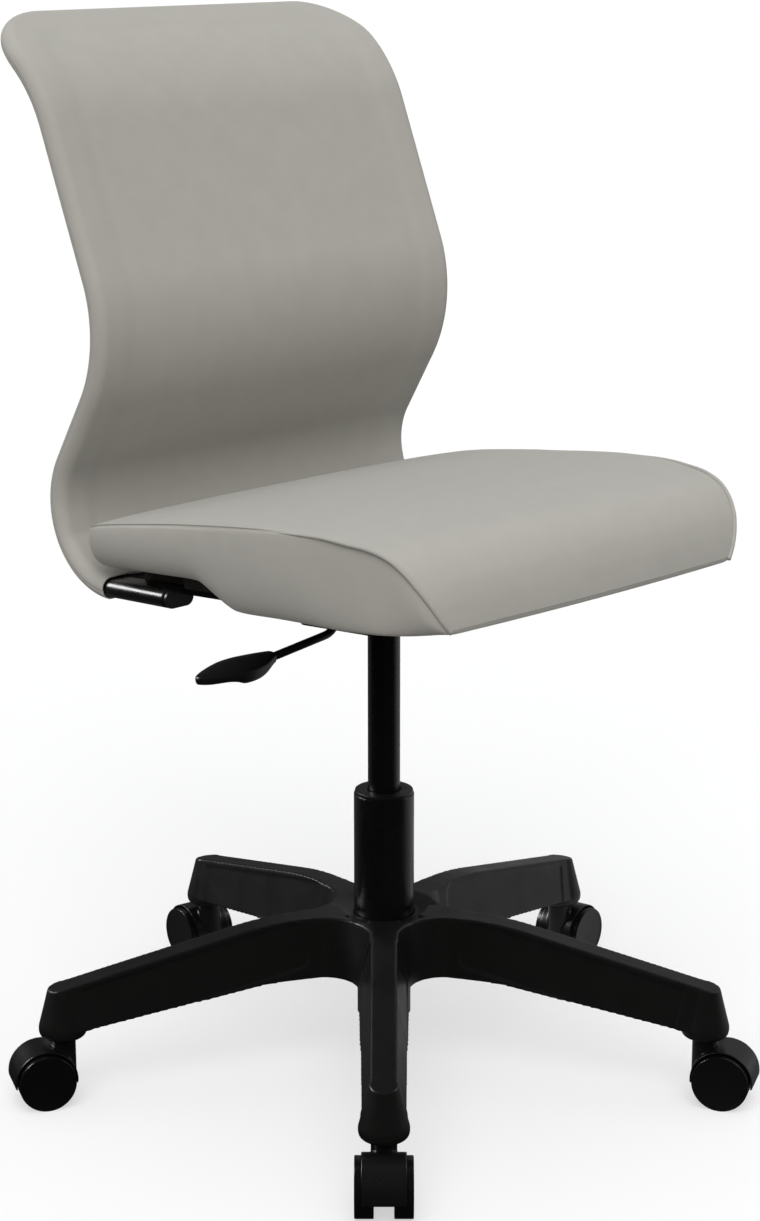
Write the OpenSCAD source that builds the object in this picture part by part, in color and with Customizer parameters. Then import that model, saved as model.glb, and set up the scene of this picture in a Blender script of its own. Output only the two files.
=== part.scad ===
// Armless swivel chair on a five-arm base with twin-wheel casters.
// The seat turns and rises on a gas lift, worked by one lever under the sitter's right hand.
// The back is a fabric sleeve over an S-shaped flat-oval tube frame.
// Millimetres. Z is up, the sitter faces -Y, and the origin is on the floor under the column.

/* [Casters] */
// Diameter of each caster wheel
wheel_d = 49; // [44:0.5:52]
// Width of one wheel along its axle
wheel_w = 15.3; // [13:0.1:18]
// Gap between the two wheels of a caster
wheel_gap = 16; // [15.5:0.1:20]
// Distance from the swivel axis to the axle
caster_trail = 18.2; // [16:0.1:20]
// Width of the hood over the wheels
hood_w = 36; // [30:0.5:40]
// Wall of the hood
hood_wall = 1.6; // [1.2:0.1:2.4]
// Air gap between the hood and the tread
hood_gap = 0.9; // [0.6:0.1:1.5]
// Diameter of the hood's neck
neck_d = 21; // [18:0.5:24]
// Diameter of the axle pin
axle_d = 6; // [5:0.5:8]
// Diameter of the stem inside the base
stem_d = 11; // [10:0.5:12]
// Diameter of the stem inside the hood
stem_lower_d = 8; // [6:0.5:9]
// Length of the stem inside the base
stem_grip_l = 22; // [18:1:26]

/* [Star base] */
// Direction of the first arm, in degrees
arm_first_deg = -135; // [-180:1:180]
// Distance from the column axis to each stem
stem_reach = 288; // [270:1:320]
// Height of the arms' underside at the stems
tip_z = 58; // [56.5:0.5:64]
// Radius of an arm's tip around the stem
tip_r = 20.6; // [18:0.2:24]
// Depth of the band at the foot of the tip
tip_band = 9.6; // [6:0.2:14]
// Height of the arm's top face over the stem
tip_top_z = 103.5; // [98:0.5:110]
// Height of the arm's top face beside the hub
arm_root_z = 142; // [136:1:150]
// Distance from the axis at which the top face starts to fall
arm_fall_r = 105; // [95:1:120]
// Height of the arm's underside beside the hub
arm_under_z = 91; // [86:1:98]
// Width of the arm's top face
arm_top_w = 21; // [18:0.5:26]
// Lean of the arm's side faces, in degrees
arm_lean_deg = 12.3; // [9:0.1:15]
// Wall of the arm's open channel
arm_wall = 4; // [3:0.1:5]
// Ribs across each arm's channel
arm_ribs = 4; // [2:1:6]
// Depth of the panel let into each side of an arm
panel_depth = 1; // [0.5:0.1:1.5]
// Outer radius of the boss that grips the column
boss_r = 36; // [32:1:42]
// Height of the boss's lower rim
boss_z = 84; // [70:1:88]

/* [Gas lift] */
// Diameter of the column's outer tube
column_d = 52.4; // [50:0.2:54]
// Wall of the outer tube
column_wall = 2; // [1.5:0.1:2.5]
// Height of the top of the outer tube
column_top_z = 247; // [235:1:260]
// Height of the bottom of the outer tube
column_foot_z = 44; // [40:1:55]
// Diameter of the moving cylinder
lift_d = 28; // [27:0.1:29]
// Height of the top of the cylinder at rest
lift_top_z = 440; // [432:1:443]
// Travel of the lift
lift_travel = 120; // [60:1:124]
// Diameter of the piston rod
rod_d = 10; // [8:0.5:12]

/* [Mechanism] */
// Width of the pressed pan
pan_w = 110; // [90:1:130]
// Length of the pressed pan, front to back
pan_l = 96; // [80:1:120]
// Depth of the pan below its flange
pan_depth = 52; // [46:1:56]
// Width of the flange
flange_w = 170; // [150:1:200]
// Length of the flange
flange_len = 180; // [150:1:200]
// Sheet thickness of the pan
pan_sheet = 2.5; // [2:0.1:3]
// Outer diameter of the hub that holds the cylinder
hub_d = 38.6; // [36:0.2:42]
// Height of the hub's lower rim
hub_z = 386; // [380:1:392]
// Diameter of the lever rod
lever_d = 7; // [6:0.5:8]
// Reach of the lever's paddle from the column axis
lever_reach = 213; // [190:1:240]
// Length of the paddle
paddle_l = 82; // [74:1:100]
// Width of the paddle
paddle_w = 38; // [30:1:44]
// Thickness of the paddle
paddle_t = 10; // [9.5:0.5:14]
// Angle by which the lever is lifted, in degrees
lever_lift_deg = 4.5; // [2:0.5:5]

/* [Seat] */
// Depth of the cushion, front to back
seat_depth = 372; // [340:1:400]
// Distance of the cushion's rear face behind the column axis
seat_rear = 128; // [120:1:140]
// Width of the cushion over its side panels
seat_w = 438; // [410:1:460]
// Height of the side seam above the cushion's lower edge
seat_h = 74.5; // [70:0.5:85]
// Rise of the crown above the side seams
seat_crown = 4; // [2:0.5:8]
// Bow of the front edge, from its corners to its middle
seat_bow = 7; // [0:0.5:12]
// Tilt of the seat, front edge up, in degrees
seat_tilt = 4.1; // [2:0.1:6]
// Height of the cushion's lower edge over the column axis
seat_ref_z = 447.3; // [440:0.1:455]
// Thickness of the plywood seat board
board_t = 12; // [9:0.5:15]
// Distance of the board's underside above the cushion's lower edge
board_lift = 9.4; // [9:0.1:12]
// Diameter of the piping along the side seams
welt_d = 3.2; // [2.5:0.1:5]

/* [Back] */
// Width of the back over its rolled edges
back_w = 412; // [380:1:440]
// Thickness of the rolled edges
roll_t = 19.4; // [17.8:0.2:24]
// Thickness of the back between the edges
web_t = 17; // [12:0.5:17.5]
// Radius of the upper corners over the roll
back_corner_r = 61; // [50:1:90]
// Thickness of the sleeve's padded fabric
sleeve_t = 0.9; // [0.8:0.1:1.4]
// Width of the flat-oval frame tube
tube_w = 30; // [26:1:34]
// Thickness of the flat-oval frame tube
tube_t = 15; // [12:0.5:15.4]
// Wall of the frame tube
tube_wall = 1.5; // [1.2:0.1:2]
// Distance of the tube's front ends behind the column axis
foot_y = 48.8; // [40:0.2:60]
// Height of the tube's centre at its front ends
foot_z = 446.2; // [440:0.2:455]
// Straight run of the tube under the seat
foot_run = 70; // [60:1:80]
// Radius of the bend behind the seat
heel_r = 64.8; // [55:0.2:80]
// Turn of the bend behind the seat, in degrees
heel_deg = 124.2; // [115:0.2:130]
// Straight run between the bend and the lumbar curve
lower_run = 63.5; // [50:0.5:80]
// Radius of the lumbar curve
lumbar_r = 115.5; // [100:0.5:140]
// Turn of the lumbar curve, in degrees
lumbar_deg = 53.1; // [48:0.1:56]
// Straight run above the lumbar curve
upper_run = 130.5; // [110:0.5:160]
// Radius of the curl at the top
curl_r = 127; // [100:1:150]
// Turn of the curl at the top, in degrees
curl_deg = 36.5; // [25:0.5:45]
// Straight run after the curl, up to the middle of the roll
top_run = 32.3; // [25:0.1:60]

/* [Hidden] */
$fn = 64;

// Radial clearance of running fits, and of parts that are only laid together
run_fit = 0.05;
lay_fit = 0.3;
// Overrun of every cut past the face that it opens
over = 1;

// Base and caster values that follow from the sizes above
arm_count = 5;
wheel_r = wheel_d/2;
hood_in_r = wheel_r + hood_gap;
hood_r = hood_in_r + hood_wall;
hood_lip = 4;
neck_top_z = tip_z - lay_fit;
neck_base_z = 34;
web_w = wheel_gap - 1;
web_r = 14;
axle_half = hood_w/2 + 1.8;
wheel_rim = 2.6;
wheel_face = 2.4;
wheel_hub_r = axle_d/2 + 3.4;
wheel_chamfer = 0.8;
wheel_dish = 0.4;
wheel_rib = 1.6;
wheel_ribs = 6;
grip_ring_w = 3;
grip_ring_rise = 0.15;
stem_bore_d = stem_d + 4*run_fit;

arm_slope = (arm_root_z - tip_top_z)/(stem_reach - arm_fall_r);
arm_slope_deg = atan(arm_slope);
arm_bend_r = 300;
under_root_r = 112;
under_tip_z = tip_z + 6;
tip_top_r = 11.5;
arm_span = 4*tip_r;
arm_in_r = boss_r/2;
arm_step_r = 2*boss_r;
tip_fillet_r = 5.6;
tip_fillet_steps = 3;
channel_in_r = 48;
channel_out_r = stem_reach - tip_r - arm_wall;
channel_rib = 3;
hub_disc_r = 76;
hub_dish_z = 4;
hub_dish_r = 46;
fillet_reach = 88;
panel_in_r = 92;
panel_margin = 4.5;
panel_end_r = 12;

column_taper = 1.2;
foot_plate_t = 4;
bush_l = 78;
bush_lip = 3.2;
lift_taper = 0.6;
lift_taper_l = 52;
lift_wall = 2;
lift_foot_z = column_foot_z + foot_plate_t + 12 + lift_travel;
guide_l = 16;
piston_l = 12;
valve_l = 26;
washer_t = 6;
washer_r = 15;
clip_t = 1.6;
clip_r = 9;
pin_d = 8;
pin_rise = 7;
pin_seat = 10;

// Mechanism
pan_y = 6;
pan_corner = 10;
slot_w = 14;
bush_d = 12;
lever_bend_deg = 24;
bush_bore = lever_d + 2*lay_fit + 2*bush_d*tan(lever_lift_deg)/cos(lever_bend_deg);
cross_pin_d = 3;
cheek = 4;
lever_pivot_z = 417;
lever_low_z = 402;
lever_drop_deg = 6.6;
lever_grip_l = 14;
paddle_drop_deg = 3.5;
paddle_edge = 2;
bolt_d = 6;
bolt_head_d = 13;
bolt_head_t = 4;
bolt_x = 70;
bolt_y = 76;

// Seat
board_half_w = seat_w/2 - 35;
board_rear = seat_rear - 14;
board_front = seat_depth - seat_rear - 26;
board_corner = 30;
cover_t = 0.8;

// Back: the developed surface has x across and s along the centre line
back_runs = [
    [foot_run, 0],
    [heel_r*heel_deg*PI/180, heel_deg],
    [lower_run, 0],
    [lumbar_r*lumbar_deg*PI/180, -lumbar_deg],
    [upper_run, 0],
    [curl_r*curl_deg*PI/180, -curl_deg],
    [top_run, 0]
];
foot_deg = -3.1;
roll_r = roll_t/2;
roll_flat = 24;
roll_blend = 18;
edge_share = 0.3;
sleeve_start = foot_run + 6;
turn_step = 12.5;
plate_t = 5;
plate_front = 50;
plate_half_w = board_half_w - over;

// Sum of the first n entries of a list of runs
function run_end(n) = n == 0 ? 0 : back_runs[n - 1][0] + run_end(n - 1);
back_len = run_end(len(back_runs));
outline_top = back_len + roll_r;

// Point after length l along a run that turns by t degrees, from p with heading a
function step_along(p, a, l, t) =
    t == 0 ? p + l*[cos(a), sin(a)]
           : let (r = l/(t*PI/180)) p + r*[sin(a + t) - sin(a), cos(a) - cos(a + t)];

// Centre line at length s: [[y, z], heading]
function centre_line(s, i = 0, p = [foot_y, foot_z], a = foot_deg) =
    let (l = back_runs[i][0], t = back_runs[i][1])
    (s <= l || i == len(back_runs) - 1)
        ? [step_along(p, a, s, t*s/l), a + t*s/l]
        : centre_line(s - l, i + 1, step_along(p, a, l, t), a + t);

// Point of the back at x across, s along and n in front of the centre surface
function back_point(x, s, n) =
    let (c = centre_line(s))
    [x, c[0][0] - n*sin(c[1]), c[0][1] + n*cos(c[1])];

// Stations at the ends and along the turns of the runs, between two lengths
run_stations = [
    for (i = [0:len(back_runs) - 1])
        let (n = max(1, round(abs(back_runs[i][1])/turn_step)))
            for (k = [0:n - 1]) run_end(i) + back_runs[i][0]*k/n
];
function stations(from, to) =
    concat([from], [for (s = run_stations) if (s > from + over && s < to - over) s], [to]);

function smooth(t) = let (u = min(1, max(0, t))) u*u*(3 - 2*u);

// Distance of a developed point inside the back's outline, which is inset by e
function inside(x, s, e) =
    let (r = back_corner_r - e,
         qx = abs(x) - (back_w/2 - e - r),
         qs = s - (outline_top - e - r))
    (qx > 0 && qs > 0) ? r - norm([qx, qs]) : r - max(qx, qs);

// Half width of the outline at a length s
function half_width(s, e) =
    let (r = back_corner_r - e, q = s - (outline_top - e - r))
    back_w/2 - e - r + (q > 0 ? sqrt(max(0, r*r - q*q)) : r);

// Half thickness at a distance d inside the outline
function half_thick(d, e) =
    let (r = roll_r - e)
    d >= r ? r - (roll_r - web_t/2)*smooth((d + e - roll_flat)/roll_blend)
           : sqrt(max(0, r*r - (r - d)*(r - d)));

// Closed ring of the back at a station: across the front, then back along the rear
function back_ring(s, e) =
    let (w = half_width(s, e),
         edge = [0, edge_share*roll_r, roll_r, roll_flat, roll_flat + roll_blend],
         xs = concat([for (d = edge) -w + d], [0], [for (i = [4:-1:0]) w - edge[i]]))
    concat(
        [for (x = xs) back_point(x, s, half_thick(inside(x, s, e), e))],
        [for (i = [len(xs) - 2:-1:1]) back_point(xs[i], s, -half_thick(inside(xs[i], s, e), e))]
    );

// Faces of a tube of rings with m points each, from ring a on, turned inward if flip is set
function wall_faces(a, count, m, flip = false) = [
    for (i = [0:count - 2], j = [0:m - 1])
        let (p = a + i*m + j, q = a + i*m + (j + 1)%m)
            each flip ? [[p, q + m, q], [p, p + m, q + m]] : [[p, q, q + m], [p, q + m, p + m]]
];

// Closed skin over a list of rings
module skin(rings) {
    m = len(rings[0]);
    n = len(rings);
    polyhedron(
        points = [for (r = rings) each r],
        faces = concat(
            [[for (j = [m - 1:-1:0]) j]],
            wall_faces(0, n, m),
            [[for (j = [0:m - 1]) (n - 1)*m + j]]
        )
    );
}

// Places a child at each arm in turn
module at_arm(i) {
    rotate(arm_first_deg + i*360/arm_count) children();
}

module in_seat() {
    translate([0, 0, seat_ref_z]) rotate([-seat_tilt, 0, 0]) children();
}

// Star base

// Height of the arms' top line at a radius on its falling stretch
function arm_line_z(r) = arm_root_z - arm_slope*(r - arm_fall_r);

// Top edge of an arm from the hub to past the tip, with an arc at the bend
function arm_top_edge(drop, r0, r1) =
    let (t = arm_bend_r*tan(arm_slope_deg/2), n = 4)
    concat(
        [[r0, arm_root_z - drop]],
        [for (k = [0:n]) let (a = arm_slope_deg*k/n)
            [arm_fall_r - t + arm_bend_r*sin(a), arm_root_z - drop - arm_bend_r*(1 - cos(a))]],
        [[r1, arm_line_z(r1) - drop]]
    );

// Extrudes an outline drawn as radius and height across the arm
module across(w) {
    translate([0, w/2, 0]) rotate([90, 0, 0]) linear_extrude(w) children();
}

// Long wedge with the arm's section, lying along the falling top line
module arm_wedge(inset) {
    reach = stem_reach + tip_r;
    half_top = arm_top_w/2 - inset;
    half_low = half_top + boss_z*tan(arm_lean_deg);
    translate([arm_fall_r, 0, arm_root_z]) rotate([0, arm_slope_deg, 0])
        translate([-arm_fall_r, 0, 0]) rotate([90, 0, 90]) linear_extrude(reach)
            polygon([[-half_low, -boss_z], [half_low, -boss_z], [half_top, 0], [-half_top, 0]]);
}

// Arm between the hub and the stem
module arm_body() {
    intersection() {
        arm_wedge(0);
        across(arm_span)
            polygon(concat(
                arm_top_edge(0, arm_in_r, stem_reach),
                [[stem_reach, under_tip_z], [under_root_r, arm_under_z - panel_depth],
                 [arm_step_r, arm_under_z], [arm_in_r, arm_under_z]]
            ));
    }
}

// Radius and height of a step of the round at the foot of the tip
function tip_fillet(k) =
    let (a = 90*k/tip_fillet_steps)
    [tip_r - tip_fillet_r*(1 - sin(a)), tip_fillet_r*(1 - cos(a))];

// Rounded end of the arm over the stem
module arm_tip() {
    rise = tip_top_z - tip_z;
    intersection() {
        translate([stem_reach, 0, tip_z]) rotate_extrude()
            polygon(concat(
                [[0, 0]],
                [for (k = [0:tip_fillet_steps]) tip_fillet(k)],
                [[tip_r, tip_band], [tip_top_r, rise], [0, rise]]
            ));
        across(arm_span)
            polygon(concat(
                arm_top_edge(0, arm_in_r, stem_reach + tip_r),
                [[stem_reach + tip_r, 0], [arm_in_r, 0]]
            ));
    }
}

// Open cells under an arm, with ribs left between them
module arm_channel() {
    cell = (channel_out_r - channel_in_r)/arm_ribs;
    intersection() {
        arm_wedge(arm_wall);
        for (k = [0:arm_ribs - 1])
            across(arm_span)
                intersection() {
                    polygon(concat(
                        arm_top_edge(arm_wall, channel_in_r, channel_out_r),
                        [[channel_out_r, 0], [channel_in_r, 0]]
                    ));
                    translate([channel_in_r + cell*k, 0])
                        square([cell - channel_rib, arm_root_z]);
                }
    }
}

// Shallow panel let into one side of an arm, with a rounded end beside the hub
module arm_panel(side) {
    top = -panel_margin;
    low = -(arm_root_z - arm_under_z) + panel_margin;
    far_end = stem_reach - tip_r/2;
    translate([arm_fall_r, 0, arm_root_z]) rotate([0, arm_slope_deg, 0])
        translate([-arm_fall_r, side*arm_top_w/2, 0]) rotate([side*arm_lean_deg, 0, 0])
            translate([0, side*over, 0]) rotate([90, 0, 0])
                translate([0, 0, side > 0 ? 0 : -over - panel_depth])
                    linear_extrude(over + panel_depth)
                        union() {
                            translate([panel_in_r, low])
                                square([far_end - panel_in_r, top - low]);
                            translate([panel_in_r - panel_end_r, low + panel_end_r])
                                square([panel_end_r*2, top - low - panel_end_r*2]);
                            for (z = [low + panel_end_r, top - panel_end_r])
                                translate([panel_in_r, z]) circle(panel_end_r);
                        }
}

// Hub plate scooped out between the arms
module hub_plate() {
    gap_deg = 180/arm_count;
    low_half = arm_top_w/2 + (arm_root_z - arm_under_z + panel_margin)*tan(arm_lean_deg);
    low_r = fillet_reach*sin(gap_deg) - low_half;
    top_r = fillet_reach*sin(gap_deg) - arm_top_w/2 - over;
    difference() {
        translate([0, 0, arm_under_z])
            cylinder(h = arm_root_z - arm_under_z, r = hub_disc_r);
        for (i = [0:arm_count - 1])
            at_arm(i + 1/2) translate([fillet_reach, 0, arm_under_z - over])
                cylinder(h = arm_root_z - arm_under_z + 2*over, r1 = low_r, r2 = top_r);
    }
}

module star_base() {
    color([0.05, 0.05, 0.05])
    difference() {
        union() {
            hub_plate();
            translate([0, 0, boss_z]) cylinder(h = arm_root_z - boss_z, r = boss_r);
            for (i = [0:arm_count - 1]) at_arm(i) {
                arm_body();
                arm_tip();
            }
        }
        for (i = [0:arm_count - 1]) at_arm(i) {
            arm_channel();
            arm_panel(1);
            arm_panel(-1);
            translate([stem_reach, 0, tip_z - over])
                cylinder(h = stem_grip_l + 2*over, d = stem_bore_d);
        }
        translate([0, 0, arm_root_z - hub_dish_z])
            cylinder(h = hub_dish_z, r1 = column_d/2 + hub_dish_z, r2 = hub_dish_r);
        translate([0, 0, boss_z - over])
            cylinder(h = column_seat_l() + over, r1 = column_foot_r(boss_z - over) + run_fit,
                     r2 = column_d/2 + run_fit);
    }
}

// Radius of the column's tapered lower end at a height below the top of the hub
function column_seat_l() = arm_root_z - hub_dish_z - boss_z;
function column_foot_r(z) =
    let (top = arm_root_z - hub_dish_z)
    column_d/2 - column_taper*(top - z)/(top - column_foot_z);

// One stem for every caster: upper end in the base, lower end in the hood
module caster_stems() {
    color([0.55, 0.55, 0.57])
    for (i = [0:arm_count - 1]) at_arm(i) translate([stem_reach, 0, 0]) {
        translate([0, 0, neck_base_z + lay_fit])
            cylinder(h = tip_z - neck_base_z - lay_fit, d = stem_lower_d);
        translate([0, 0, tip_z]) {
            cylinder(h = stem_grip_l, d = stem_d);
            translate([0, 0, stem_grip_l - 2*grip_ring_w])
                cylinder(h = grip_ring_w, d = stem_d + grip_ring_rise);
        }
    }
}

// Column

module column_tube() {
    seat_top = arm_root_z - hub_dish_z;
    color([0.03, 0.03, 0.03])
    difference() {
        union() {
            translate([0, 0, column_foot_z])
                cylinder(h = seat_top - column_foot_z, r1 = column_foot_r(column_foot_z), r2 = column_d/2);
            translate([0, 0, seat_top])
                cylinder(h = column_top_z - seat_top - over, d = column_d);
            translate([0, 0, column_top_z - over])
                cylinder(h = over, d1 = column_d, d2 = column_d - over);
        }
        translate([0, 0, column_foot_z - over])
            cylinder(h = column_top_z - column_foot_z + 2*over,
                     r = column_foot_r(column_foot_z) - column_wall);
    }
}

// Disc welded into the bottom of the outer tube, with the hole for the rod
module column_foot() {
    color([0.03, 0.03, 0.03])
    translate([0, 0, column_foot_z])
        difference() {
            cylinder(h = foot_plate_t, r = column_foot_r(column_foot_z) - column_wall - run_fit);
            translate([0, 0, -over]) cylinder(h = foot_plate_t + 2*over, d = rod_d + 4*run_fit);
        }
}

// Plastic sleeve that guides the cylinder, with a lip on the rim of the tube
module guide_bush() {
    tube_in_r = column_foot_r(column_foot_z) - column_wall;
    color([0.02, 0.02, 0.02])
    difference() {
        union() {
            translate([0, 0, column_top_z - bush_l]) cylinder(h = bush_l, r = tube_in_r - run_fit);
            translate([0, 0, column_top_z])
                cylinder(h = bush_lip, r1 = column_d/2 - over, r2 = column_d/2 - 2*over);
        }
        translate([0, 0, column_top_z - bush_l - over])
            cylinder(h = bush_l + bush_lip + 2*over, d = lift_d + 2*run_fit);
    }
}

// Rod side of the lift, which turns in the foot of the column

piston_z = lift_foot_z + guide_l + lay_fit;

module piston_rod() {
    foot = column_foot_z - 2*clip_t - over;
    color([0.62, 0.62, 0.64])
    difference() {
        translate([0, 0, foot]) cylinder(h = piston_z + piston_l - foot, d = rod_d);
        translate([0, 0, column_foot_z - lay_fit - clip_t])
            rotate_extrude() translate([rod_d/2 - over, 0]) square([2*over, clip_t]);
    }
}

module piston() {
    color([0.4, 0.4, 0.42])
    translate([0, 0, piston_z])
        difference() {
            cylinder(h = piston_l, r = lift_d/2 - lift_wall - run_fit);
            translate([0, 0, -over]) cylinder(h = piston_l + 2*over, d = rod_d + 2*run_fit);
        }
}

// Thrust bearing washer that carries the load onto the foot plate
module thrust_washer() {
    color([0.5, 0.5, 0.52])
    translate([0, 0, column_foot_z + foot_plate_t])
        difference() {
            cylinder(h = washer_t, r = washer_r);
            translate([0, 0, -over]) cylinder(h = washer_t + 2*over, d = rod_d + 2*run_fit);
        }
}

// Spring clip in the rod's groove, under the foot plate
module rod_clip() {
    color([0.5, 0.5, 0.52])
    translate([0, 0, column_foot_z - lay_fit - clip_t + run_fit])
        difference() {
            cylinder(h = clip_t - 2*run_fit, r = clip_r);
            translate([0, 0, -over]) cylinder(h = clip_t + 2*over, r = rod_d/2 - over + run_fit);
            translate([0, -rod_d/4, -over]) cube([clip_r + over, rod_d/2, clip_t + 2*over]);
        }
}

// Cylinder side of the lift, which rises with the seat

module gas_cylinder() {
    color([0.02, 0.02, 0.02])
    difference() {
        union() {
            translate([0, 0, lift_foot_z])
                cylinder(h = lift_top_z - lift_taper_l - lift_foot_z, d = lift_d);
            translate([0, 0, lift_top_z - lift_taper_l])
                cylinder(h = lift_taper_l, r1 = lift_d/2, r2 = lift_d/2 - lift_taper);
        }
        translate([0, 0, lift_foot_z - over])
            cylinder(h = lift_top_z - valve_l - lift_foot_z + over, r = lift_d/2 - lift_wall);
        translate([0, 0, lift_top_z - valve_l - over])
            cylinder(h = valve_l + 2*over, d = pin_d + 2*run_fit);
    }
}

// Guide and seal at the mouth of the cylinder, around the rod
module rod_guide() {
    color([0.25, 0.25, 0.26])
    translate([0, 0, lift_foot_z])
        difference() {
            cylinder(h = guide_l, r = lift_d/2 - lift_wall - run_fit);
            translate([0, 0, -over]) cylinder(h = guide_l + 2*over, d = rod_d + 2*run_fit);
        }
}

// Pin that opens the valve when the lever presses it
module release_pin() {
    color([0.6, 0.6, 0.62])
    translate([0, 0, lift_top_z - pin_seat]) cylinder(h = pin_seat + pin_rise, d = pin_d);
}

// Mechanism under the seat

// Outline of the pan, grown by a distance
module pan_outline(grow) {
    w = pan_w/2 + grow;
    l = pan_l/2 + grow;
    r = pan_corner + grow;
    translate([0, pan_y]) {
        square([2*w, 2*l - 2*r], center = true);
        square([2*w - 2*r, 2*l], center = true);
        for (x = [-1, 1], y = [-1, 1]) translate([x*(w - r), y*(l - r)]) circle(r);
    }
}

flange_z = board_lift - pan_sheet;
pan_floor_z = board_lift - pan_depth - pan_sheet;

module bolt_places() {
    for (x = [-1, 1], y = [-1, 1]) translate([x*bolt_x, y*bolt_y]) children();
}

module seat_plate() {
    color([0.04, 0.04, 0.04])
    difference() {
        in_seat() difference() {
            union() {
                translate([-flange_w/2, -flange_len/2, flange_z]) cube([flange_w, flange_len, pan_sheet]);
                translate([0, 0, pan_floor_z]) linear_extrude(flange_z - pan_floor_z) pan_outline(0);
            }
            translate([0, 0, pan_floor_z + pan_sheet]) linear_extrude(pan_depth + 2*over)
                pan_outline(-pan_sheet);
            bolt_places() translate([0, 0, flange_z - over])
                cylinder(h = pan_sheet + 2*over, d = bolt_d + 2*lay_fit);
        }
        translate([0, 0, hub_z - over]) cylinder(h = lift_top_z - hub_z, d = hub_d + 2*lay_fit);
        translate([-pan_w/2 - over, -slot_w/2, lever_pivot_z - bush_d])
            cube([pan_sheet + 2*over, slot_w, 2*bush_d]);
    }
}

// Hub that grips the taper of the cylinder
module plate_hub() {
    hub_l = lift_top_z - hub_z - over;
    color([0.04, 0.04, 0.04])
    translate([0, 0, hub_z])
        difference() {
            cylinder(h = hub_l, d = hub_d);
            translate([0, 0, -over]) cylinder(h = hub_l + 2*over, r = lift_d/2 + run_fit);
        }
}

// Plastic bush in the side of the pan, with cheeks for the pin on which the lever rocks
module lever_bush() {
    color([0.1, 0.1, 0.1])
    translate([lever_pivot_x, 0, lever_pivot_z])
        difference() {
            standing_bush();
            rotate([0, lever_bend_deg, 0]) cylinder(h = 4*bush_d, d = bush_bore, center = true);
            rotate([90, 0, 0]) cylinder(h = 2*slot_w, d = cross_pin_d + 2*run_fit, center = true);
        }
}

module standing_bush() {
    w = slot_w - 2*lay_fit;
    h = 2*bush_d - 2*lay_fit;
    translate([-pan_sheet/2, -w/2, -bush_d + lay_fit]) cube([pan_sheet, w, h]);
    translate([pan_sheet/2 + lay_fit, -w/2, -bush_d + lay_fit])
        cube([pan_sheet, w, h]);
    translate([-cheek, -w/2, -cheek]) cube([2*cheek, w, 2*cheek]);
}

// Lever: over the pin, down through the bush and out to the paddle. Headings in the plane y = 0
// are measured from +X towards +Z.
lever_bend_r = 12;
lever_pivot_x = -pan_w/2 + pan_sheet/2;
lever_top_z = lift_top_z + pin_rise + lay_fit + lever_d/2;
lever_bend = [lever_pivot_x + (lever_top_z - lever_pivot_z)*tan(lever_bend_deg), lever_top_z];
lever_turn = [lever_pivot_x - (lever_pivot_z - lever_low_z)*tan(lever_bend_deg), lever_low_z];
lever_headings = [180, 270 - lever_bend_deg, 180 + lever_drop_deg];
lever_out_l = (lever_reach - paddle_l + lever_turn[0])/cos(lever_drop_deg) + lever_grip_l;
lever_sides = 20;
lever_bend_steps = 5;

function heading(a) = [cos(a), sin(a)];

// Rings of the rod around a bend between two headings: [centre, heading]
function lever_arc(corner, a, b) =
    let (from = corner - lever_bend_r*tan(abs(b - a)/2)*heading(a))
    [for (k = [0:lever_bend_steps])
        let (t = (b - a)*k/lever_bend_steps)
        [step_along(from, a, lever_bend_r*abs(t)*PI/180, t), a + t]];

lever_path = concat(
    [[[lever_d, lever_top_z], lever_headings[0]]],
    lever_arc(lever_bend, lever_headings[0], lever_headings[1]),
    lever_arc(lever_turn, lever_headings[1], lever_headings[2]),
    [[lever_turn + lever_out_l*heading(lever_headings[2]), lever_headings[2]]]
);

function lever_ring(p) = [
    for (j = [0:lever_sides - 1])
        let (a = 360*j/lever_sides, q = p[0] + lever_d/2*cos(a)*heading(p[1] + 90))
        [q[0], lever_d/2*sin(a), q[1]]
];

module lever_rod() {
    color([0.03, 0.03, 0.03])
    difference() {
        skin([for (p = lever_path) lever_ring(p)]);
        across_pivot(2*lever_d, cross_pin_d + 2*run_fit);
    }
}

// Round bar on the lever's pivot
module across_pivot(l, d) {
    translate([lever_pivot_x, 0, lever_pivot_z]) rotate([90, 0, 0]) cylinder(h = l, d = d, center = true);
}

// Pin through the rod and both cheeks of the bush
module lever_pin() {
    color([0.5, 0.5, 0.52]) across_pivot(slot_w - 2*lay_fit - over, cross_pin_d);
}

// Outline of the paddle as shares of its length from the rod and of its half width
paddle_shares = [
    [0, 0.34], [0.06, 0.46], [0.24, 0.86], [0.36, 1], [0.5, 0.98], [0.66, 0.86],
    [0.82, 0.66], [0.93, 0.44], [1, 0.18]
];

module paddle_outline(inset) {
    function at(p, side) = [-p[0]*paddle_l - inset*(1 - 2*p[0]), side*(p[1]*paddle_w/2 - inset)];
    n = len(paddle_shares);
    polygon(concat(
        [for (p = paddle_shares) at(p, 1)],
        [for (i = [n - 1:-1:0]) at(paddle_shares[i], -1)]
    ));
}

module lever_paddle() {
    color([0.03, 0.03, 0.03])
    translate([lever_turn[0], 0, lever_turn[1]]) rotate([0, -lever_drop_deg, 0])
        translate([lever_grip_l - lever_out_l, 0, 0])
        difference() {
            rotate([0, lever_drop_deg - paddle_drop_deg, 0]) hull() {
                translate([0, 0, -paddle_t/2]) linear_extrude(paddle_t)
                    paddle_outline(paddle_edge);
                translate([0, 0, -paddle_t/2 + paddle_edge])
                    linear_extrude(paddle_t - 2*paddle_edge) paddle_outline(0);
            }
            rotate([0, -90, 0]) translate([0, 0, -over])
                cylinder(h = lever_grip_l + 2*over, d = lever_d + 2*run_fit);
        }
}

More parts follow.
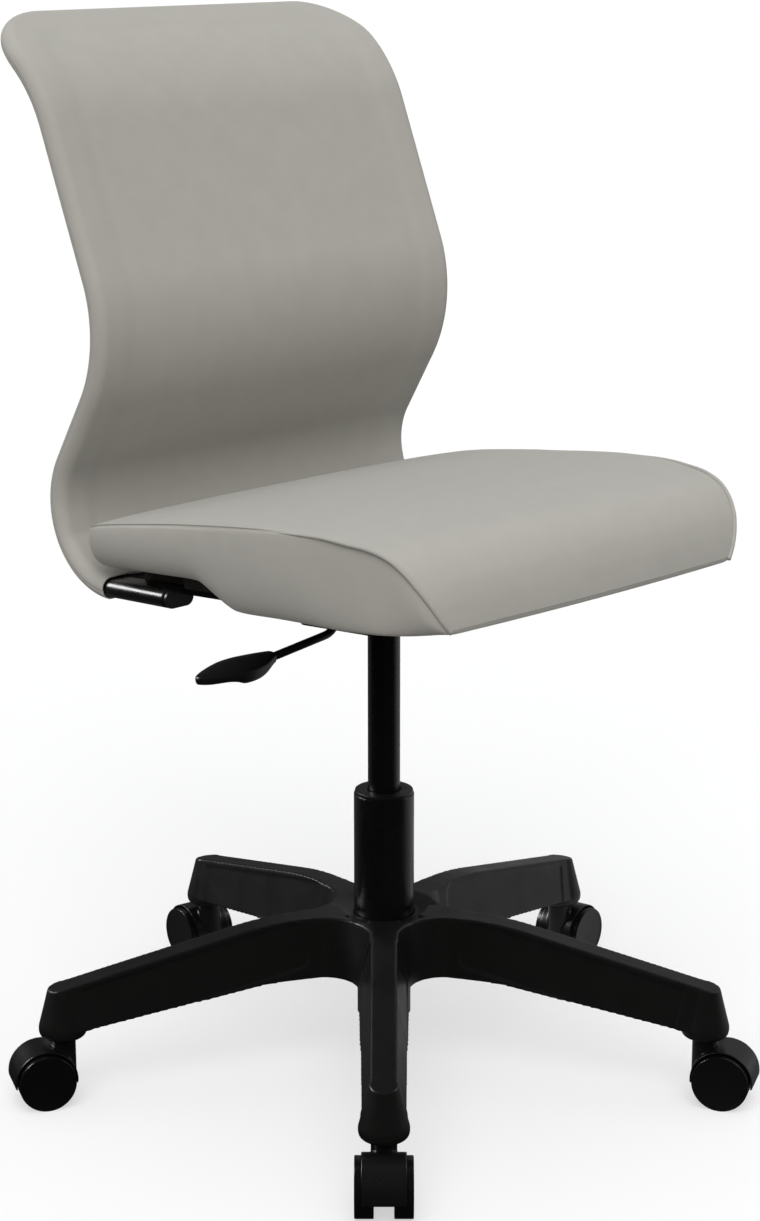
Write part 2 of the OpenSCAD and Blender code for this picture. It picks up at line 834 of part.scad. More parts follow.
// Screws through the flange and the board
module bolt(grip) {
    translate([0, 0, -bolt_head_t]) cylinder(h = bolt_head_t, d = bolt_head_d);
    cylinder(h = grip, d = bolt_d);
}

module seat_bolts() {
    color([0.3, 0.3, 0.32])
    in_seat() bolt_places() translate([0, 0, flange_z]) bolt(pan_sheet + board_t);
}

// Back frame

// Flat-oval section across the developed surface, shrunk by e: [across, normal] pairs
function oval(e) =
    let (r = tube_t/2 - e, c = tube_w/2 - tube_t/2)
    concat(
        [for (k = [-2.5:1:2.5]) [c + r*cos(k*36), r*sin(k*36)]],
        [for (k = [-2.5:1:2.5]) [-c - r*cos(k*36), -r*sin(k*36)]]
    );

tube_x = back_w/2 - roll_r + tube_t/2 - tube_w/2;
tube_top = back_len - tube_w/2 + tube_t/2;
tube_corner = back_corner_r - roll_r - tube_w/2 + tube_t/2;
corner_steps = 6;

// Path of the tube on the developed surface: [x, s, direction across]
side_path = [for (s = stations(0, tube_top - tube_corner)) [-tube_x, s, 180]];
corner_path = [
    for (k = [1:corner_steps])
        let (a = 90*k/corner_steps)
        [-tube_x + tube_corner*(1 - cos(a)), tube_top - tube_corner*(1 - sin(a)), 180 - a]
];
half_path = concat(side_path, corner_path);
tube_path = concat(
    half_path,
    [for (i = [len(half_path) - 1:-1:0]) [-half_path[i][0], half_path[i][1], 180 - half_path[i][2]]]
);

function tube_ring(p, e) = [
    for (q = oval(e)) back_point(p[0] + q[0]*cos(p[2]), p[1] + q[0]*sin(p[2]), q[1])
];

// Ring of faces that joins an outer ring, from point p on, to an inner one from point q on
function rim_faces(p, q, m, flip = false) = [
    for (j = [0:m - 1]) let (k = (j + 1)%m)
        each flip ? [[p + j, p + k, q + k], [p + j, q + k, q + j]]
                  : [[p + j, q + k, p + k], [p + j, q + j, q + k]]
];

// Hollow tube: outer skin, inner skin and the two open ends
module hollow_skin(outer, inner) {
    m = len(outer[0]);
    n = len(outer);
    polyhedron(
        points = concat([for (r = outer) each r], [for (r = inner) each r]),
        faces = concat(
            wall_faces(0, n, m, true),
            wall_faces(n*m, n, m),
            rim_faces(0, n*m, m, true),
            rim_faces((n - 1)*m, (2*n - 1)*m, m)
        )
    );
}

// Bag that is open at its first ring and closed at its last
module bag(outer, inner) {
    m = len(outer[0]);
    n = len(outer);
    polyhedron(
        points = concat([for (r = outer) each r], [for (r = inner) each r]),
        faces = concat(
            wall_faces(0, n, m, true),
            wall_faces(n*m, n, m),
            rim_faces(0, n*m, m, true),
            [[for (j = [m - 1:-1:0]) (n - 1)*m + j]],
            [[for (j = [0:m - 1]) (2*n - 1)*m + j]]
        )
    );
}

module back_frame() {
    color([0.04, 0.04, 0.04])
    hollow_skin(
        [for (p = tube_path) tube_ring(p, 0)],
        [for (p = tube_path) tube_ring(p, tube_wall)]
    );
}

// Places a child at the front end of a tube, looking along it
module at_foot(side) {
    translate([side*tube_x, foot_y, foot_z]) rotate([90 + foot_deg, 0, 0]) children();
}

module oval_outline(e) {
    c = tube_w/2 - tube_t/2;
    square([2*c, tube_t - 2*e], center = true);
    for (x = [-c, c]) translate([x, 0]) circle(tube_t/2 - e);
}

// Plastic plugs that close the front ends of the tube
cap_head = 2.4;
cap_plug = 14;

module tube_caps() {
    color([0.02, 0.02, 0.02])
    for (side = [-1, 1]) at_foot(side) {
        linear_extrude(cap_head) oval_outline(0);
        translate([0, 0, -cap_plug]) linear_extrude(cap_plug) oval_outline(tube_wall + lay_fit);
    }
}

// Plate between the tube ends, bolted under the seat board
plate_z = board_lift - plate_t;
plate_gap_x = tube_x - tube_w/2 - lay_fit;
tube_lead = foot_y - cap_head - over;
frame_bolt_x = 130;
frame_bolt_y = 96;
plate_rear = board_rear - 6;

module frame_bolt_places() {
    for (x = [-frame_bolt_x, 0, frame_bolt_x]) translate([x, frame_bolt_y]) children();
}

module frame_plate() {
    front_edge = flange_len/2 + over;
    color([0.04, 0.04, 0.04])
    in_seat() difference() {
        translate([0, 0, plate_z]) linear_extrude(plate_t)
            polygon([
                [-plate_gap_x, plate_rear], [plate_gap_x, plate_rear],
                [plate_gap_x, tube_lead], [plate_half_w, tube_lead], [plate_half_w, -plate_front],
                [flange_w/2 + over, -plate_front], [flange_w/2 + over, front_edge],
                [-flange_w/2 - over, front_edge], [-flange_w/2 - over, -plate_front],
                [-plate_half_w, -plate_front], [-plate_half_w, tube_lead], [-plate_gap_x, tube_lead]
            ]);
        frame_bolt_places() translate([0, 0, plate_z - over])
            cylinder(h = plate_t + 2*over, d = bolt_d + 2*lay_fit);
    }
}

module frame_bolts() {
    color([0.3, 0.3, 0.32])
    in_seat() frame_bolt_places() translate([0, 0, plate_z]) bolt(plate_t + board_t);
}

// Seat

module board_outline(grow) {
    w = board_half_w + grow;
    r = board_corner + grow;
    front = -board_front - grow;
    rear = board_rear + grow;
    translate([-w, front + r]) square([2*w, rear - front - 2*r]);
    translate([-w + r, front]) square([2*w - 2*r, rear - front]);
    for (x = [-w + r, w - r], y = [front + r, rear - r]) translate([x, y]) circle(r);
}

module seat_board() {
    color([0.45, 0.33, 0.2])
    in_seat() difference() {
        translate([0, 0, board_lift]) linear_extrude(board_t) difference() {
            board_outline(0);
            for (x = [-plate_gap_x - seat_w, plate_gap_x]) translate([x, tube_lead]) square(seat_w);
        }
        bolt_places() translate([0, 0, board_lift - over])
            cylinder(h = board_t + 2*over, d = bolt_d + 2*run_fit);
        frame_bolt_places() translate([0, 0, board_lift - over])
            cylinder(h = board_t + 2*over, d = bolt_d + 2*run_fit);
    }
}

// Black cloth over the front of the board's underside, open around the flange
module seat_dust_cover() {
    margin = 4*over;
    color([0.05, 0.05, 0.05])
    in_seat() translate([0, 0, board_lift - cover_t]) linear_extrude(cover_t)
        difference() {
            board_outline(-over);
            translate([-seat_w, -plate_front - margin]) square([2*seat_w, seat_depth]);
            translate([-flange_w/2 - margin, -flange_len/2 - margin])
                square([flange_w + 2*margin, flange_len]);
        }
}

// Cushion stations from the rear face to the front nose, as shares: place along the depth,
// height of the seam, height of the lower edge, half width at the seam and at the lower edge
seat_shares = [
    [0.000, 0.66, 0.44, 0.940, 0.900], [0.006, 0.76, 0.33, 0.972, 0.912],
    [0.030, 0.81, 0.29, 0.990, 0.922], [0.100, 0.86, 0.29, 1.000, 0.922],
    [0.190, 0.90, 0.29, 0.994, 0.922], [0.300, 0.94, 0.29, 0.984, 0.922],
    [0.340, 0.95, 0.26, 0.980, 0.922], [0.380, 0.96, 0.15, 0.977, 0.922],
    [0.420, 0.97, 0.04, 0.976, 0.922], [0.455, 0.98, 0.00, 0.976, 0.922],
    [0.560, 1.00, 0.00, 0.973, 0.922], [0.650, 1.00, 0.00, 0.962, 0.922],
    [0.735, 0.98, 0.00, 0.943, 0.920], [0.800, 0.94, 0.00, 0.930, 0.912],
    [0.868, 0.87, 0.00, 0.910, 0.895], [0.919, 0.76, 0.00, 0.893, 0.868],
    [0.952, 0.61, 0.00, 0.877, 0.835], [0.976, 0.42, 0.00, 0.852, 0.795],
    [0.990, 0.24, 0.01, 0.820, 0.765], [1.000, 0.12, 0.04, 0.780, 0.745]
];
// Section of the cushion from the lower edge over the seam to the middle: share of the way
// out from the lower to the seam half width, and share of the way up to the seam
side_shares = [[0, 0.02], [0.85, 0.3], [1.14, 0.66], [1, 1]];
// Top of the section: share of the half width, share of the crown
top_shares = [[0.94, 0.3], [0.72, 0.72], [0.36, 0.96], [0, 1]];
// Inset of the lower edge, as a share of the half width
hem_share = 0.985;
// Depth over which the front bow fades out, and share of the half width where it is full
bow_reach = 120;
bow_corner_share = 0.84;

function seat_station(i) = let (p = seat_shares[i]) [
    seat_rear - p[0]*seat_depth, p[1]*seat_h, p[2]*seat_h, p[3]*seat_w/2, p[4]*seat_w/2
];

// Distance by which a station stands back at x, where the front edge is bowed
function bow_at(x, y) =
    let (share = smooth(1 - (y + seat_depth - seat_rear)/bow_reach), t = 2*x/seat_w)
    seat_bow*share*t*t/(bow_corner_share*bow_corner_share);

function seat_half_ring(st) =
    let (top = st[1], low = st[2], w = st[3], wl = st[4], c = seat_crown*min(1, (top - low)/(seat_h/2)))
    concat(
        [[wl*hem_share, low]],
        [for (p = side_shares) [wl + p[0]*(w - wl), low + p[1]*(top - low)]],
        [for (p = top_shares) [w*p[0], top + c*p[1]]]
    );

function seat_ring(st) =
    let (h = seat_half_ring(st), n = len(h))
    concat(
        [for (p = h) [p[0], st[0] + bow_at(p[0], st[0]), p[1]]],
        [for (i = [n - 2:-1:0]) [-h[i][0], st[0] + bow_at(h[i][0], st[0]), h[i][1]]]
    );

module seat_cushion() {
    color([0.66, 0.65, 0.62])
    in_seat() difference() {
        skin([for (i = [len(seat_shares) - 1:-1:0]) seat_ring(seat_station(i))]);
        translate([0, 0, -seat_h]) linear_extrude(seat_h + board_lift + board_t + lay_fit)
            board_outline(lay_fit);
    }
}

// Piping along a side seam, laid on the outside of the seam's corner
welt_sides = 8;

function welt_point(i) = let (st = seat_station(i)) [st[3], st[0] + bow_at(st[3], st[0]), st[1]];

function welt_frame(i, side) =
    let (n = len(seat_shares),
         a = welt_point(max(0, i - 1)), b = welt_point(min(n - 1, i + 1)),
         t = (b - a)/norm(b - a),
         up = [0, t[2], -t[1]]/norm([0, t[2], -t[1]]),
         o = ([1, 0, 0] + up)/norm([1, 0, 0] + up),
         c = welt_point(i) + (welt_d/2 + lay_fit)*o)
    [[side*c[0], c[1], c[2]], [side*t[0], t[1], t[2]], [side*o[0], o[1], o[2]]];

function welt_ring(i, side) =
    let (f = welt_frame(i, side), k = cross(f[1], f[2]))
    [for (j = [0:welt_sides - 1])
        let (a = side*360*j/welt_sides) f[0] + welt_d/2*(cos(a)*f[2] + sin(a)*k)];

module seat_welt(side) {
    color([0.62, 0.61, 0.58])
    in_seat() skin([for (i = [len(seat_shares) - 1:-1:0]) welt_ring(i, side)]);
}

module seat_welt_left() { seat_welt(1); }
module seat_welt_right() { seat_welt(-1); }

// Back sleeve, open at its lower end where the tubes come out
top_shares_in = [0.75, 0.5];
top_insets = concat(
    [for (t = top_shares_in) t*back_corner_r],
    [roll_flat, roll_r, edge_share*roll_r, edge_share*roll_r/6]
);

function sleeve_stations(e) = concat(
    stations(sleeve_start, outline_top - back_corner_r),
    [for (d = top_insets) outline_top - e - d]
);

module back_cover() {
    color([0.64, 0.63, 0.59])
    bag([for (s = sleeve_stations(0)) back_ring(s, 0)],
        [for (s = sleeve_stations(sleeve_t)) back_ring(s, sleeve_t)]);
}

// Foam pad inside the sleeve: as wide as the gap between the tubes up to their upper bends,
// narrower between the bends
pad_gap = 0.9;
pad_half_t = web_t/2 - sleeve_t - pad_gap;

module pad_part(half_w, to) {
    lengths = stations(sleeve_start + over, to);
    n = len(lengths);
    side = function (s, k) let (p = back_point(0, s, k*pad_half_t)) [p[1], p[2]];
    rotate([90, 0, 90]) linear_extrude(2*half_w, center = true)
        polygon(concat(
            [for (s = lengths) side(s, 1)],
            [for (i = [n - 1:-1:0]) side(lengths[i], -1)]
        ));
}

module back_pad() {
    color([0.75, 0.7, 0.45]) {
        pad_part(tube_x - tube_w/2 - over, tube_top - tube_corner);
        pad_part(tube_x - tube_corner, tube_top - tube_w/2 - over);
    }
}

// Casters, in a frame with the stem on Z and the arm's outward direction on X

module at_caster(i) {
    at_arm(i - 1) translate([stem_reach, 0, 0]) children();
}

// Places a child on the axle, with Z along the axle towards +Y
module on_axle() {
    translate([caster_trail, 0, wheel_r]) rotate([-90, 0, 0]) children();
}

module caster_hood() {
    color([0.04, 0.04, 0.04])
    difference() {
        union() {
            difference() {
                union() {
                    on_axle() translate([0, 0, -hood_w/2]) cylinder(h = hood_w, r = hood_r);
                    translate([0, 0, wheel_r]) cylinder(h = neck_top_z - wheel_r, d = neck_d);
                }
                on_axle() translate([0, 0, -hood_w/2 - over])
                    cylinder(h = hood_w + 2*over, r = hood_in_r);
                translate([-hood_r, -hood_w, -hood_lip]) cube([4*hood_r, 2*hood_w, wheel_r]);
            }
            on_axle() translate([0, 0, -web_w/2]) {
                cylinder(h = web_w, r = web_r);
                intersection() {
                    cylinder(h = web_w, r = hood_in_r + hood_wall/2);
                    translate([-hood_r, -hood_r, 0]) cube([2*hood_r, hood_r, web_w]);
                }
            }
        }
        translate([0, 0, neck_base_z])
            cylinder(h = neck_top_z - neck_base_z + over, d = stem_lower_d + 2*run_fit);
        on_axle() translate([0, 0, -web_w])
            cylinder(h = 2*web_w, d = axle_d + 2*run_fit);
    }
}

module caster_axle() {
    color([0.6, 0.6, 0.62])
    on_axle() translate([0, 0, -axle_half]) cylinder(h = 2*axle_half, d = axle_d);
}

// Wheel on the side of the axle given by side, dished outside and ribbed inside
module caster_wheel(side) {
    c = wheel_chamfer;
    face = wheel_gap/2 + wheel_w;
    color([0.02, 0.02, 0.02])
    on_axle() rotate([side > 0 ? 0 : 180, 0, 0])
        difference() {
            union() {
                difference() {
                    translate([0, 0, wheel_gap/2]) cylinder(h = wheel_w - c, r = wheel_r);
                    translate([0, 0, wheel_gap/2 - over])
                        cylinder(h = wheel_w - wheel_face + over, r = wheel_r - wheel_rim);
                }
                translate([0, 0, face - c])
                    cylinder(h = c, r1 = wheel_r, r2 = wheel_r - c);
                translate([0, 0, wheel_gap/2]) cylinder(h = wheel_w - over, r = wheel_hub_r);
                for (k = [0:wheel_ribs - 1]) rotate(k*360/wheel_ribs)
                    translate([wheel_hub_r - over, -wheel_rib/2, wheel_gap/2 + over])
                        cube([wheel_r - wheel_rim - wheel_hub_r + 2*over, wheel_rib,
                              wheel_w - wheel_face]);
            }
            translate([0, 0, wheel_gap/2 - over])
                cylinder(h = axle_half + over - wheel_gap/2 + lay_fit, d = axle_d + 2*run_fit);
            translate([0, 0, face - wheel_dish])
                cylinder(h = over, r = wheel_r - 2*c);
        }
}

module caster_1_hood() { at_caster(1) caster_hood(); }
module caster_1_axle() { at_caster(1) caster_axle(); }
module caster_1_wheel_a() { at_caster(1) caster_wheel(1); }
module caster_1_wheel_b() { at_caster(1) caster_wheel(-1); }
module caster_2_hood() { at_caster(2) caster_hood(); }
module caster_2_axle() { at_caster(2) caster_axle(); }
module caster_2_wheel_a() { at_caster(2) caster_wheel(1); }
module caster_2_wheel_b() { at_caster(2) caster_wheel(-1); }
module caster_3_hood() { at_caster(3) caster_hood(); }
module caster_3_axle() { at_caster(3) caster_axle(); }
module caster_3_wheel_a() { at_caster(3) caster_wheel(1); }
module caster_3_wheel_b() { at_caster(3) caster_wheel(-1); }
module caster_4_hood() { at_caster(4) caster_hood(); }
module caster_4_axle() { at_caster(4) caster_axle(); }
module caster_4_wheel_a() { at_caster(4) caster_wheel(1); }
module caster_4_wheel_b() { at_caster(4) caster_wheel(-1); }
module caster_5_hood() { at_caster(5) caster_hood(); }
module caster_5_axle() { at_caster(5) caster_axle(); }
module caster_5_wheel_a() { at_caster(5) caster_wheel(1); }
module caster_5_wheel_b() { at_caster(5) caster_wheel(-1); }

star_base();
caster_stems();
column_tube();
column_foot();
guide_bush();
piston_rod();
piston();
thrust_washer();
rod_clip();
gas_cylinder();
rod_guide();
release_pin();
seat_plate();
plate_hub();
lever_bush();
lever_rod();
lever_pin();
lever_paddle();
seat_bolts();
back_frame();
tube_caps();
frame_plate();
frame_bolts();
seat_board();
seat_dust_cover();
seat_cushion();
seat_welt_left();
seat_welt_right();
back_cover();
back_pad();
caster_1_hood();
caster_1_axle();
caster_1_wheel_a();
caster_1_wheel_b();
caster_2_hood();
caster_2_axle();
caster_2_wheel_a();
caster_2_wheel_b();
caster_3_hood();
caster_3_axle();
caster_3_wheel_a();
caster_3_wheel_b();
caster_4_hood();
caster_4_axle();
caster_4_wheel_a();
caster_4_wheel_b();
caster_5_hood();
caster_5_axle();
caster_5_wheel_a();
caster_5_wheel_b();
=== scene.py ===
"""Looks of the office chair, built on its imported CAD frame.

Shapes are worked out in millimetres. new_mesh, shift and MM turn them into metres.
"""
import math

import bmesh
import bpy
from mathutils import Matrix, Vector


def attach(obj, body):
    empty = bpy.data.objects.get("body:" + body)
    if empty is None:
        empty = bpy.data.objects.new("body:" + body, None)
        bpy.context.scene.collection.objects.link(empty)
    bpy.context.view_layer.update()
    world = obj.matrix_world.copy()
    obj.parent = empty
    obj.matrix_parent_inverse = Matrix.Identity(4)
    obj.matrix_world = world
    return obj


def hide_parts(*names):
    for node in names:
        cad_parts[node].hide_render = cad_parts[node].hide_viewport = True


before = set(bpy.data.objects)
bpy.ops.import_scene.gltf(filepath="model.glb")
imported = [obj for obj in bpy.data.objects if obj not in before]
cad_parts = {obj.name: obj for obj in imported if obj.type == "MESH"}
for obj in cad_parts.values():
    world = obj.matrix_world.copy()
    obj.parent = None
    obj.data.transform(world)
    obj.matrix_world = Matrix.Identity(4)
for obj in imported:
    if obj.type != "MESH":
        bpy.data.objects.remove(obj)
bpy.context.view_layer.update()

MM = 0.001

# Camera, as fitted to the photograph: place in metres, pitch down in radians, lens and sensor in mm
CAMERA_PLACE = (-1.6076, -1.6076, 1.0046)
CAMERA_PITCH = 0.256
CAMERA_LENS, CAMERA_SENSOR = 81.25, 36
# The fitted axis is 4 pixels beside the photograph's middle, of its 1221 rows
CAMERA_SHIFT_X = -4 / 1221

# The back's centre line: where it starts as (y, z, degrees), at the tubes' front ends, and its
# runs as (length, turn in degrees)
BACK_START = (48.8, 446.2, -3.1)
HEEL_R, LUMBAR_R, CURL_R = 64.8, 115.5, 127.0
BACK_RUNS = [
    (70.0, 0.0),
    (HEEL_R * math.radians(124.2), 124.2),
    (63.5, 0.0),
    (LUMBAR_R * math.radians(53.1), -53.1),
    (130.5, 0.0),
    (CURL_R * math.radians(36.5), -36.5),
    (32.3, 0.0),
]
BACK_LEN = sum(length for length, _ in BACK_RUNS)
BACK_W = 412.0
CORNER_R = 61.0

# The sleeve: rolled edge around the tube, then a flat band that blends into the thinner web
ROLL_R = 9.7
WEB_HALF = 8.5
ROLL_FLAT, ROLL_BLEND = 24.0, 18.0
BAND_IN = ROLL_FLAT + ROLL_BLEND
SLEEVE_START = 76.0
SLEEVE_T = 0.9
OUTLINE_TOP = BACK_LEN + ROLL_R
CORNER_START = OUTLINE_TOP - CORNER_R
# Rows up the sides, rows around a corner, columns across the web, steps in the flat band
SIDE_ROWS, CORNER_ROWS, WEB_COLUMNS, FLAT_STEPS = 160, 16, 30, 14
ROLL_STEP_DEG = 7.5
# The seam pressed into the rolled edge, behind its middle, and the finer steps over it
SEAM_DEG, SEAM_HALF_DEG, SEAM_DEPTH = -13.0, 5.0, 0.7
SEAM_CLEAR_DEG = 6
SEAM_STEPS = [-18.0, -16.0, -14.5, -13.0, -11.5, -10.0, -8.0]
# Crease where the sleeve bends towards the seat: its middle across and along, half its flat
# length, its depth, and how fast it fades across and along
CREASE_X, CREASE_S, CREASE_FLAT = 188.0, 143.0, 6
CREASE_DEPTH, CREASE_FADE_X, CREASE_FADE_S = 1.1, 22.0, 8.0

# The back's flat-oval tube
TUBE_W, TUBE_T = 30.0, 15.0
TUBE_X = BACK_W / 2 - ROLL_R + TUBE_T / 2 - TUBE_W / 2
TUBE_TOP = BACK_LEN - TUBE_W / 2 + TUBE_T / 2
TUBE_CORNER = CORNER_R - ROLL_R - TUBE_W / 2 + TUBE_T / 2
TUBE_ROWS, TUBE_CORNER_ROWS = 130, 12

# Foam pad: half thickness, edge rounding, gap to the tube, start above the sleeve's lower end,
# and how much thinner its ends are over what length
PAD_HALF = WEB_HALF - SLEEVE_T - 0.9
PAD_EDGE, PAD_GAP, PAD_ABOVE = 5.0, 2.0, 3.0
PAD_THINNER, PAD_TAPER = 0.35, 6
PAD_ROWS = 110

# The seat, in its own tilted frame: Y from rear to front is SEAT_REAR down by SEAT_DEPTH
SEAT_TILT, SEAT_REF_Z = 4.1, 447.3
SEAT_REAR, SEAT_DEPTH, SEAT_W, SEAT_H = 128.0, 372.0, 438.0, 74.5
SEAT_CROWN = 4.0
# How far the front corners stand back, over what depth, and the corners' share of the half width
SEAT_BOW, BOW_REACH, BOW_CORNER = 7.0, 120.0, 0.84
BOARD_HALF_W, BOARD_REAR, BOARD_FRONT, BOARD_CORNER = 184.0, 114.0, 218.0, 30.0
BOARD_LOW = 9.4

# Shares of the seat's sizes at stations from rear to front: place along the depth, height of the
# seam, height of the lower edge, half width at the seam, half width at the lower edge
SEAT_STATIONS = [
    (0.000, 0.66, 0.44, 0.940, 0.900),
    (0.006, 0.76, 0.33, 0.972, 0.912),
    (0.030, 0.81, 0.29, 0.990, 0.922),
    (0.100, 0.86, 0.29, 1.000, 0.922),
    (0.190, 0.90, 0.29, 0.994, 0.922),
    (0.300, 0.94, 0.29, 0.984, 0.922),
    (0.340, 0.95, 0.26, 0.980, 0.922),
    (0.380, 0.96, 0.15, 0.977, 0.922),
    (0.420, 0.97, 0.04, 0.976, 0.922),
    (0.455, 0.98, 0.00, 0.976, 0.922),
    (0.560, 1.00, 0.00, 0.973, 0.922),
    (0.650, 1.00, 0.00, 0.962, 0.922),
    (0.735, 0.98, 0.00, 0.943, 0.920),
    (0.800, 0.94, 0.00, 0.930, 0.912),
    (0.868, 0.89, 0.00, 0.910, 0.895),
    (0.919, 0.80, 0.00, 0.893, 0.868),
    (0.952, 0.67, 0.00, 0.877, 0.835),
    (0.976, 0.50, 0.00, 0.854, 0.797),
    (0.990, 0.33, 0.00, 0.824, 0.772),
    (0.997, 0.17, 0.01, 0.792, 0.757),
    (1.000, 0.055, 0.05, 0.762, 0.745),
]
# Side panel from the lower edge to the seam, and top panel from the seam to the middle
SIDE_PROFILE = [
    (-0.75, 0.0), (-0.1, 0.035), (0.45, 0.13), (0.84, 0.29),
    (1.05, 0.49), (1.12, 0.69), (1.09, 0.87), (1.0, 1.0),
]
TOP_PROFILE = [(1.0, 0.0), (0.94, 0.3), (0.72, 0.72), (0.36, 0.96), (0.0, 1.0)]
SIDE_STEPS, TOP_STEPS, SEAT_ROWS, SEAM_ROWS = 22, 16, 170, 260
# Places across the lower face, as shares of its half width
UNDER_SHARES = [0.0, 0.2, 0.4, 0.6, 0.72, 0.8, 0.835, 0.855, 0.87, 0.885, 0.9, 0.915, 0.93, 0.945]
# The cloth around the board's lower edge: reach outside, gap to the board, then where and over
# what length it rises out of sight inside the board
WRAP_OUT, WRAP_GAP = 9.0, 0.4
WRAP_IN, WRAP_RISE, WRAP_RISE_LEN = 14.0, 5.0, 3
# Least thickness between the lower face and the seam
UNDER_CLEAR = 1.0
# Part of the seat's depth, and its length, over which the seam turns from sunk to proud
FRONT_START, FRONT_LEN = 0.5, 0.35
# Groove of the side seam as (across, up) from the seam's corner, the height of side that it needs
# for its full depth, and how much of it is gone at the front
SEAM_GROOVE = [(-0.05, -1.6), (-2.6, -2.2), (-1.7, 0.0)]
GROOVE_FULL, GROOVE_FADE = 8, 0.7
# Piping: radius, place across and up from the seam, first at the rear and then at the front corner
PIPING_REAR, PIPING_FRONT = (0.5, -1.6, -1.6), (1.9, 1.2, 0.1)
# Loose end of the piping below the front edge, and the points back that give its direction
PIPING_TAIL, TAIL_POINTS = 2.5, 8
# Lining: inset from the board, rear edge, notch for the seat plate, thickness, drop below the board
LINING_IN, LINING_REAR = 9.0, -55.0
NOTCH_X, NOTCH_Y, NOTCH_R = 90.0, -95.0, 3
LINING_T, LINING_DROP = 0.5, 1.0

# The base and the casters
ARM_ANGLES = [-135 + 72 * i for i in range(5)]
STEM_REACH, CASTER_TRAIL = 288.0, 18.2
WHEEL_R = 24.5

# Turned pieces: closed half sections as (radius, height), then the rounding of each corner.
# The column is narrower below the base's hub, where the photo hides it behind the front arm.
COLUMN_SECTION = [
    (23.4, 44), (23.4, 90), (25.7, 104), (26.2, 139),
    (26.2, 246.9), (24.2, 246.9), (23.2, 90), (22.97, 44),
]
COLUMN_ROUNDING = [0.2, 6, 6, 3, 0.9, 0.4, 1, 0.1]
CAP_SECTION = [
    (14.05, 170), (23.1, 170), (23.1, 246.9), (25.5, 246.9),
    (25.2, 249.9), (15.2, 250.2), (14.05, 249.4),
]
CAP_ROUNDING = [0.5, 0.5, 0, 0.5, 1.0, 0.5, 0.4]
# The mechanism's hub: its lower rim stays above the cushion's edge in the photo
HUB_SECTION = [(14.05, 392.5), (17.5, 392.5), (19.3, 396.0), (19.3, 438.8), (14.05, 438.8)]
HUB_ROUNDING = [0.4, 0.8, 1.0, 0.6, 0.4]
# A wheel's heights run along the axle, from the caster's middle outward
WHEEL_SECTION = [
    (0, 22.9), (21.4, 22.9), (21.9, 23.3), (WHEEL_R, 23.3), (WHEEL_R, 8.0), (22.1, 8.0),
    (21.9, 20.5), (6.4, 20.5), (6.4, 8.0), (3.05, 8.0), (3.05, 20.1), (0, 20.1),
]
WHEEL_ROUNDING = [0, 0.3, 0.2, 1.1, 0.7, 0.3, 1.0, 0.8, 0.4, 0.2, 0, 0]

# The lever's rod: corners as (x, z), bend radius, rod radius
ROD_CORNERS = [(7, 450.8), (-38.7, 450.8), (-60.4, 402.0), (-148, 391.9)]
ROD_BEND, ROD_R = 18.0, 3.5
# The lever's paddle at stations along it: x, half width, top, top of the side, bottom of the side
PADDLE_STATIONS = [
    (-131, 6.5, 399.2, 397.0, 389.8),
    (-137, 9.5, 399.3, 396.6, 388.6),
    (-146, 14.5, 398.8, 395.8, 386.8),
    (-156, 18.2, 398.2, 395.2, 385.2),
    (-166, 19.6, 397.6, 394.6, 384.3),
    (-175, 19.0, 397.0, 394.2, 384.2),
    (-181, 17.4, 396.5, 393.9, 386.0),
    (-188, 15.2, 395.9, 393.6, 387.0),
    (-196, 12.0, 395.2, 393.3, 386.8),
    (-203, 8.6, 394.6, 393.0, 386.5),
    (-208, 5.6, 394.1, 392.8, 386.8),
    (-211, 3.4, 393.6, 392.4, 387.4),
]
PADDLE_ROWS = 60
# Share of the half width under the domed top, share that the sides lean in, step below the top,
# sag of the underside, and its largest rounding
PADDLE_TOP, PADDLE_LEAN, PADDLE_STEP, PADDLE_SAG, PADDLE_ROUND = 0.93, 0.06, 0.6, 0.4, 2.2

# Colours
GREY = (0.368, 0.356, 0.327)
# The piping is coloured a little darker than the cloth, as painted shade along the seat's seam
PIPING_PAINTED_SHADE = 0.96
BLACK = (0.0052, 0.0052, 0.005)
WHITE = (1, 1, 1)

# Suns light the chair but aren't mirrored in it: direction to the sun, strength, width in
# degrees, colour
SUNS = {
    "ceiling": ((0, -0.05, 1.0), 1.2, 70, (0.92, 0.965, 1.0)),
    "key": ((-0.56, -0.50, 0.66), 1.92, 50, (1.0, 0.99, 0.98)),
}
# Softboxes are mirrored in the chair but don't light it: place, target, size, power
SOFTBOXES = {
    "left softbox": ((-1.25, 2.0, 1.6), (0, 0, 0.45), (1.3, 0.8), 55.0),
    "right softbox": ((2.1, -1.2, 1.9), (0, 0, 0.3), (0.5, 1.0), 8.0),
}
# The floor as the camera sees it, a share of it shaded by shadows, and as it lights the chair
FLOOR_REACH = 60000
FLOOR_WHITE, FLOOR_GLOW, FLOOR_SHADOW_SHARE = (0.86, 0.86, 0.86), 1.02, 0.45
FLOOR_LIT = (0.27, 0.266, 0.26)
WORLD_SEEN, WORLD_LIT, WORLD_TINT = 1.0, 0.43, (1.0, 0.985, 0.96)
# Black pieces mirror a studio that is dark behind the camera, bright behind the chair and dim on
# the left: directions, spans along them and levels
BRIGHT_SIDE = (0.78, 0.62, 0.0)
FLOOR_GLOSS_SPAN, FLOOR_GLOSS = (-0.25, 0.45), (0.015, 0.42)
WORLD_GLOSS_SPAN, WORLD_GLOSS = (-0.5, 0.6), (0.015, 0.26)
DIM_SIDE, DIM_SPAN, DIM = (-0.707, 0.707, 0.0), (-0.12, 0.16), (1.0, 0.22)


# Numbers


def smooth_share(t):
    """Share from 0 to 1 that starts and ends level."""
    u = min(1.0, max(0.0, t))
    return u * u * (3 - 2 * u)


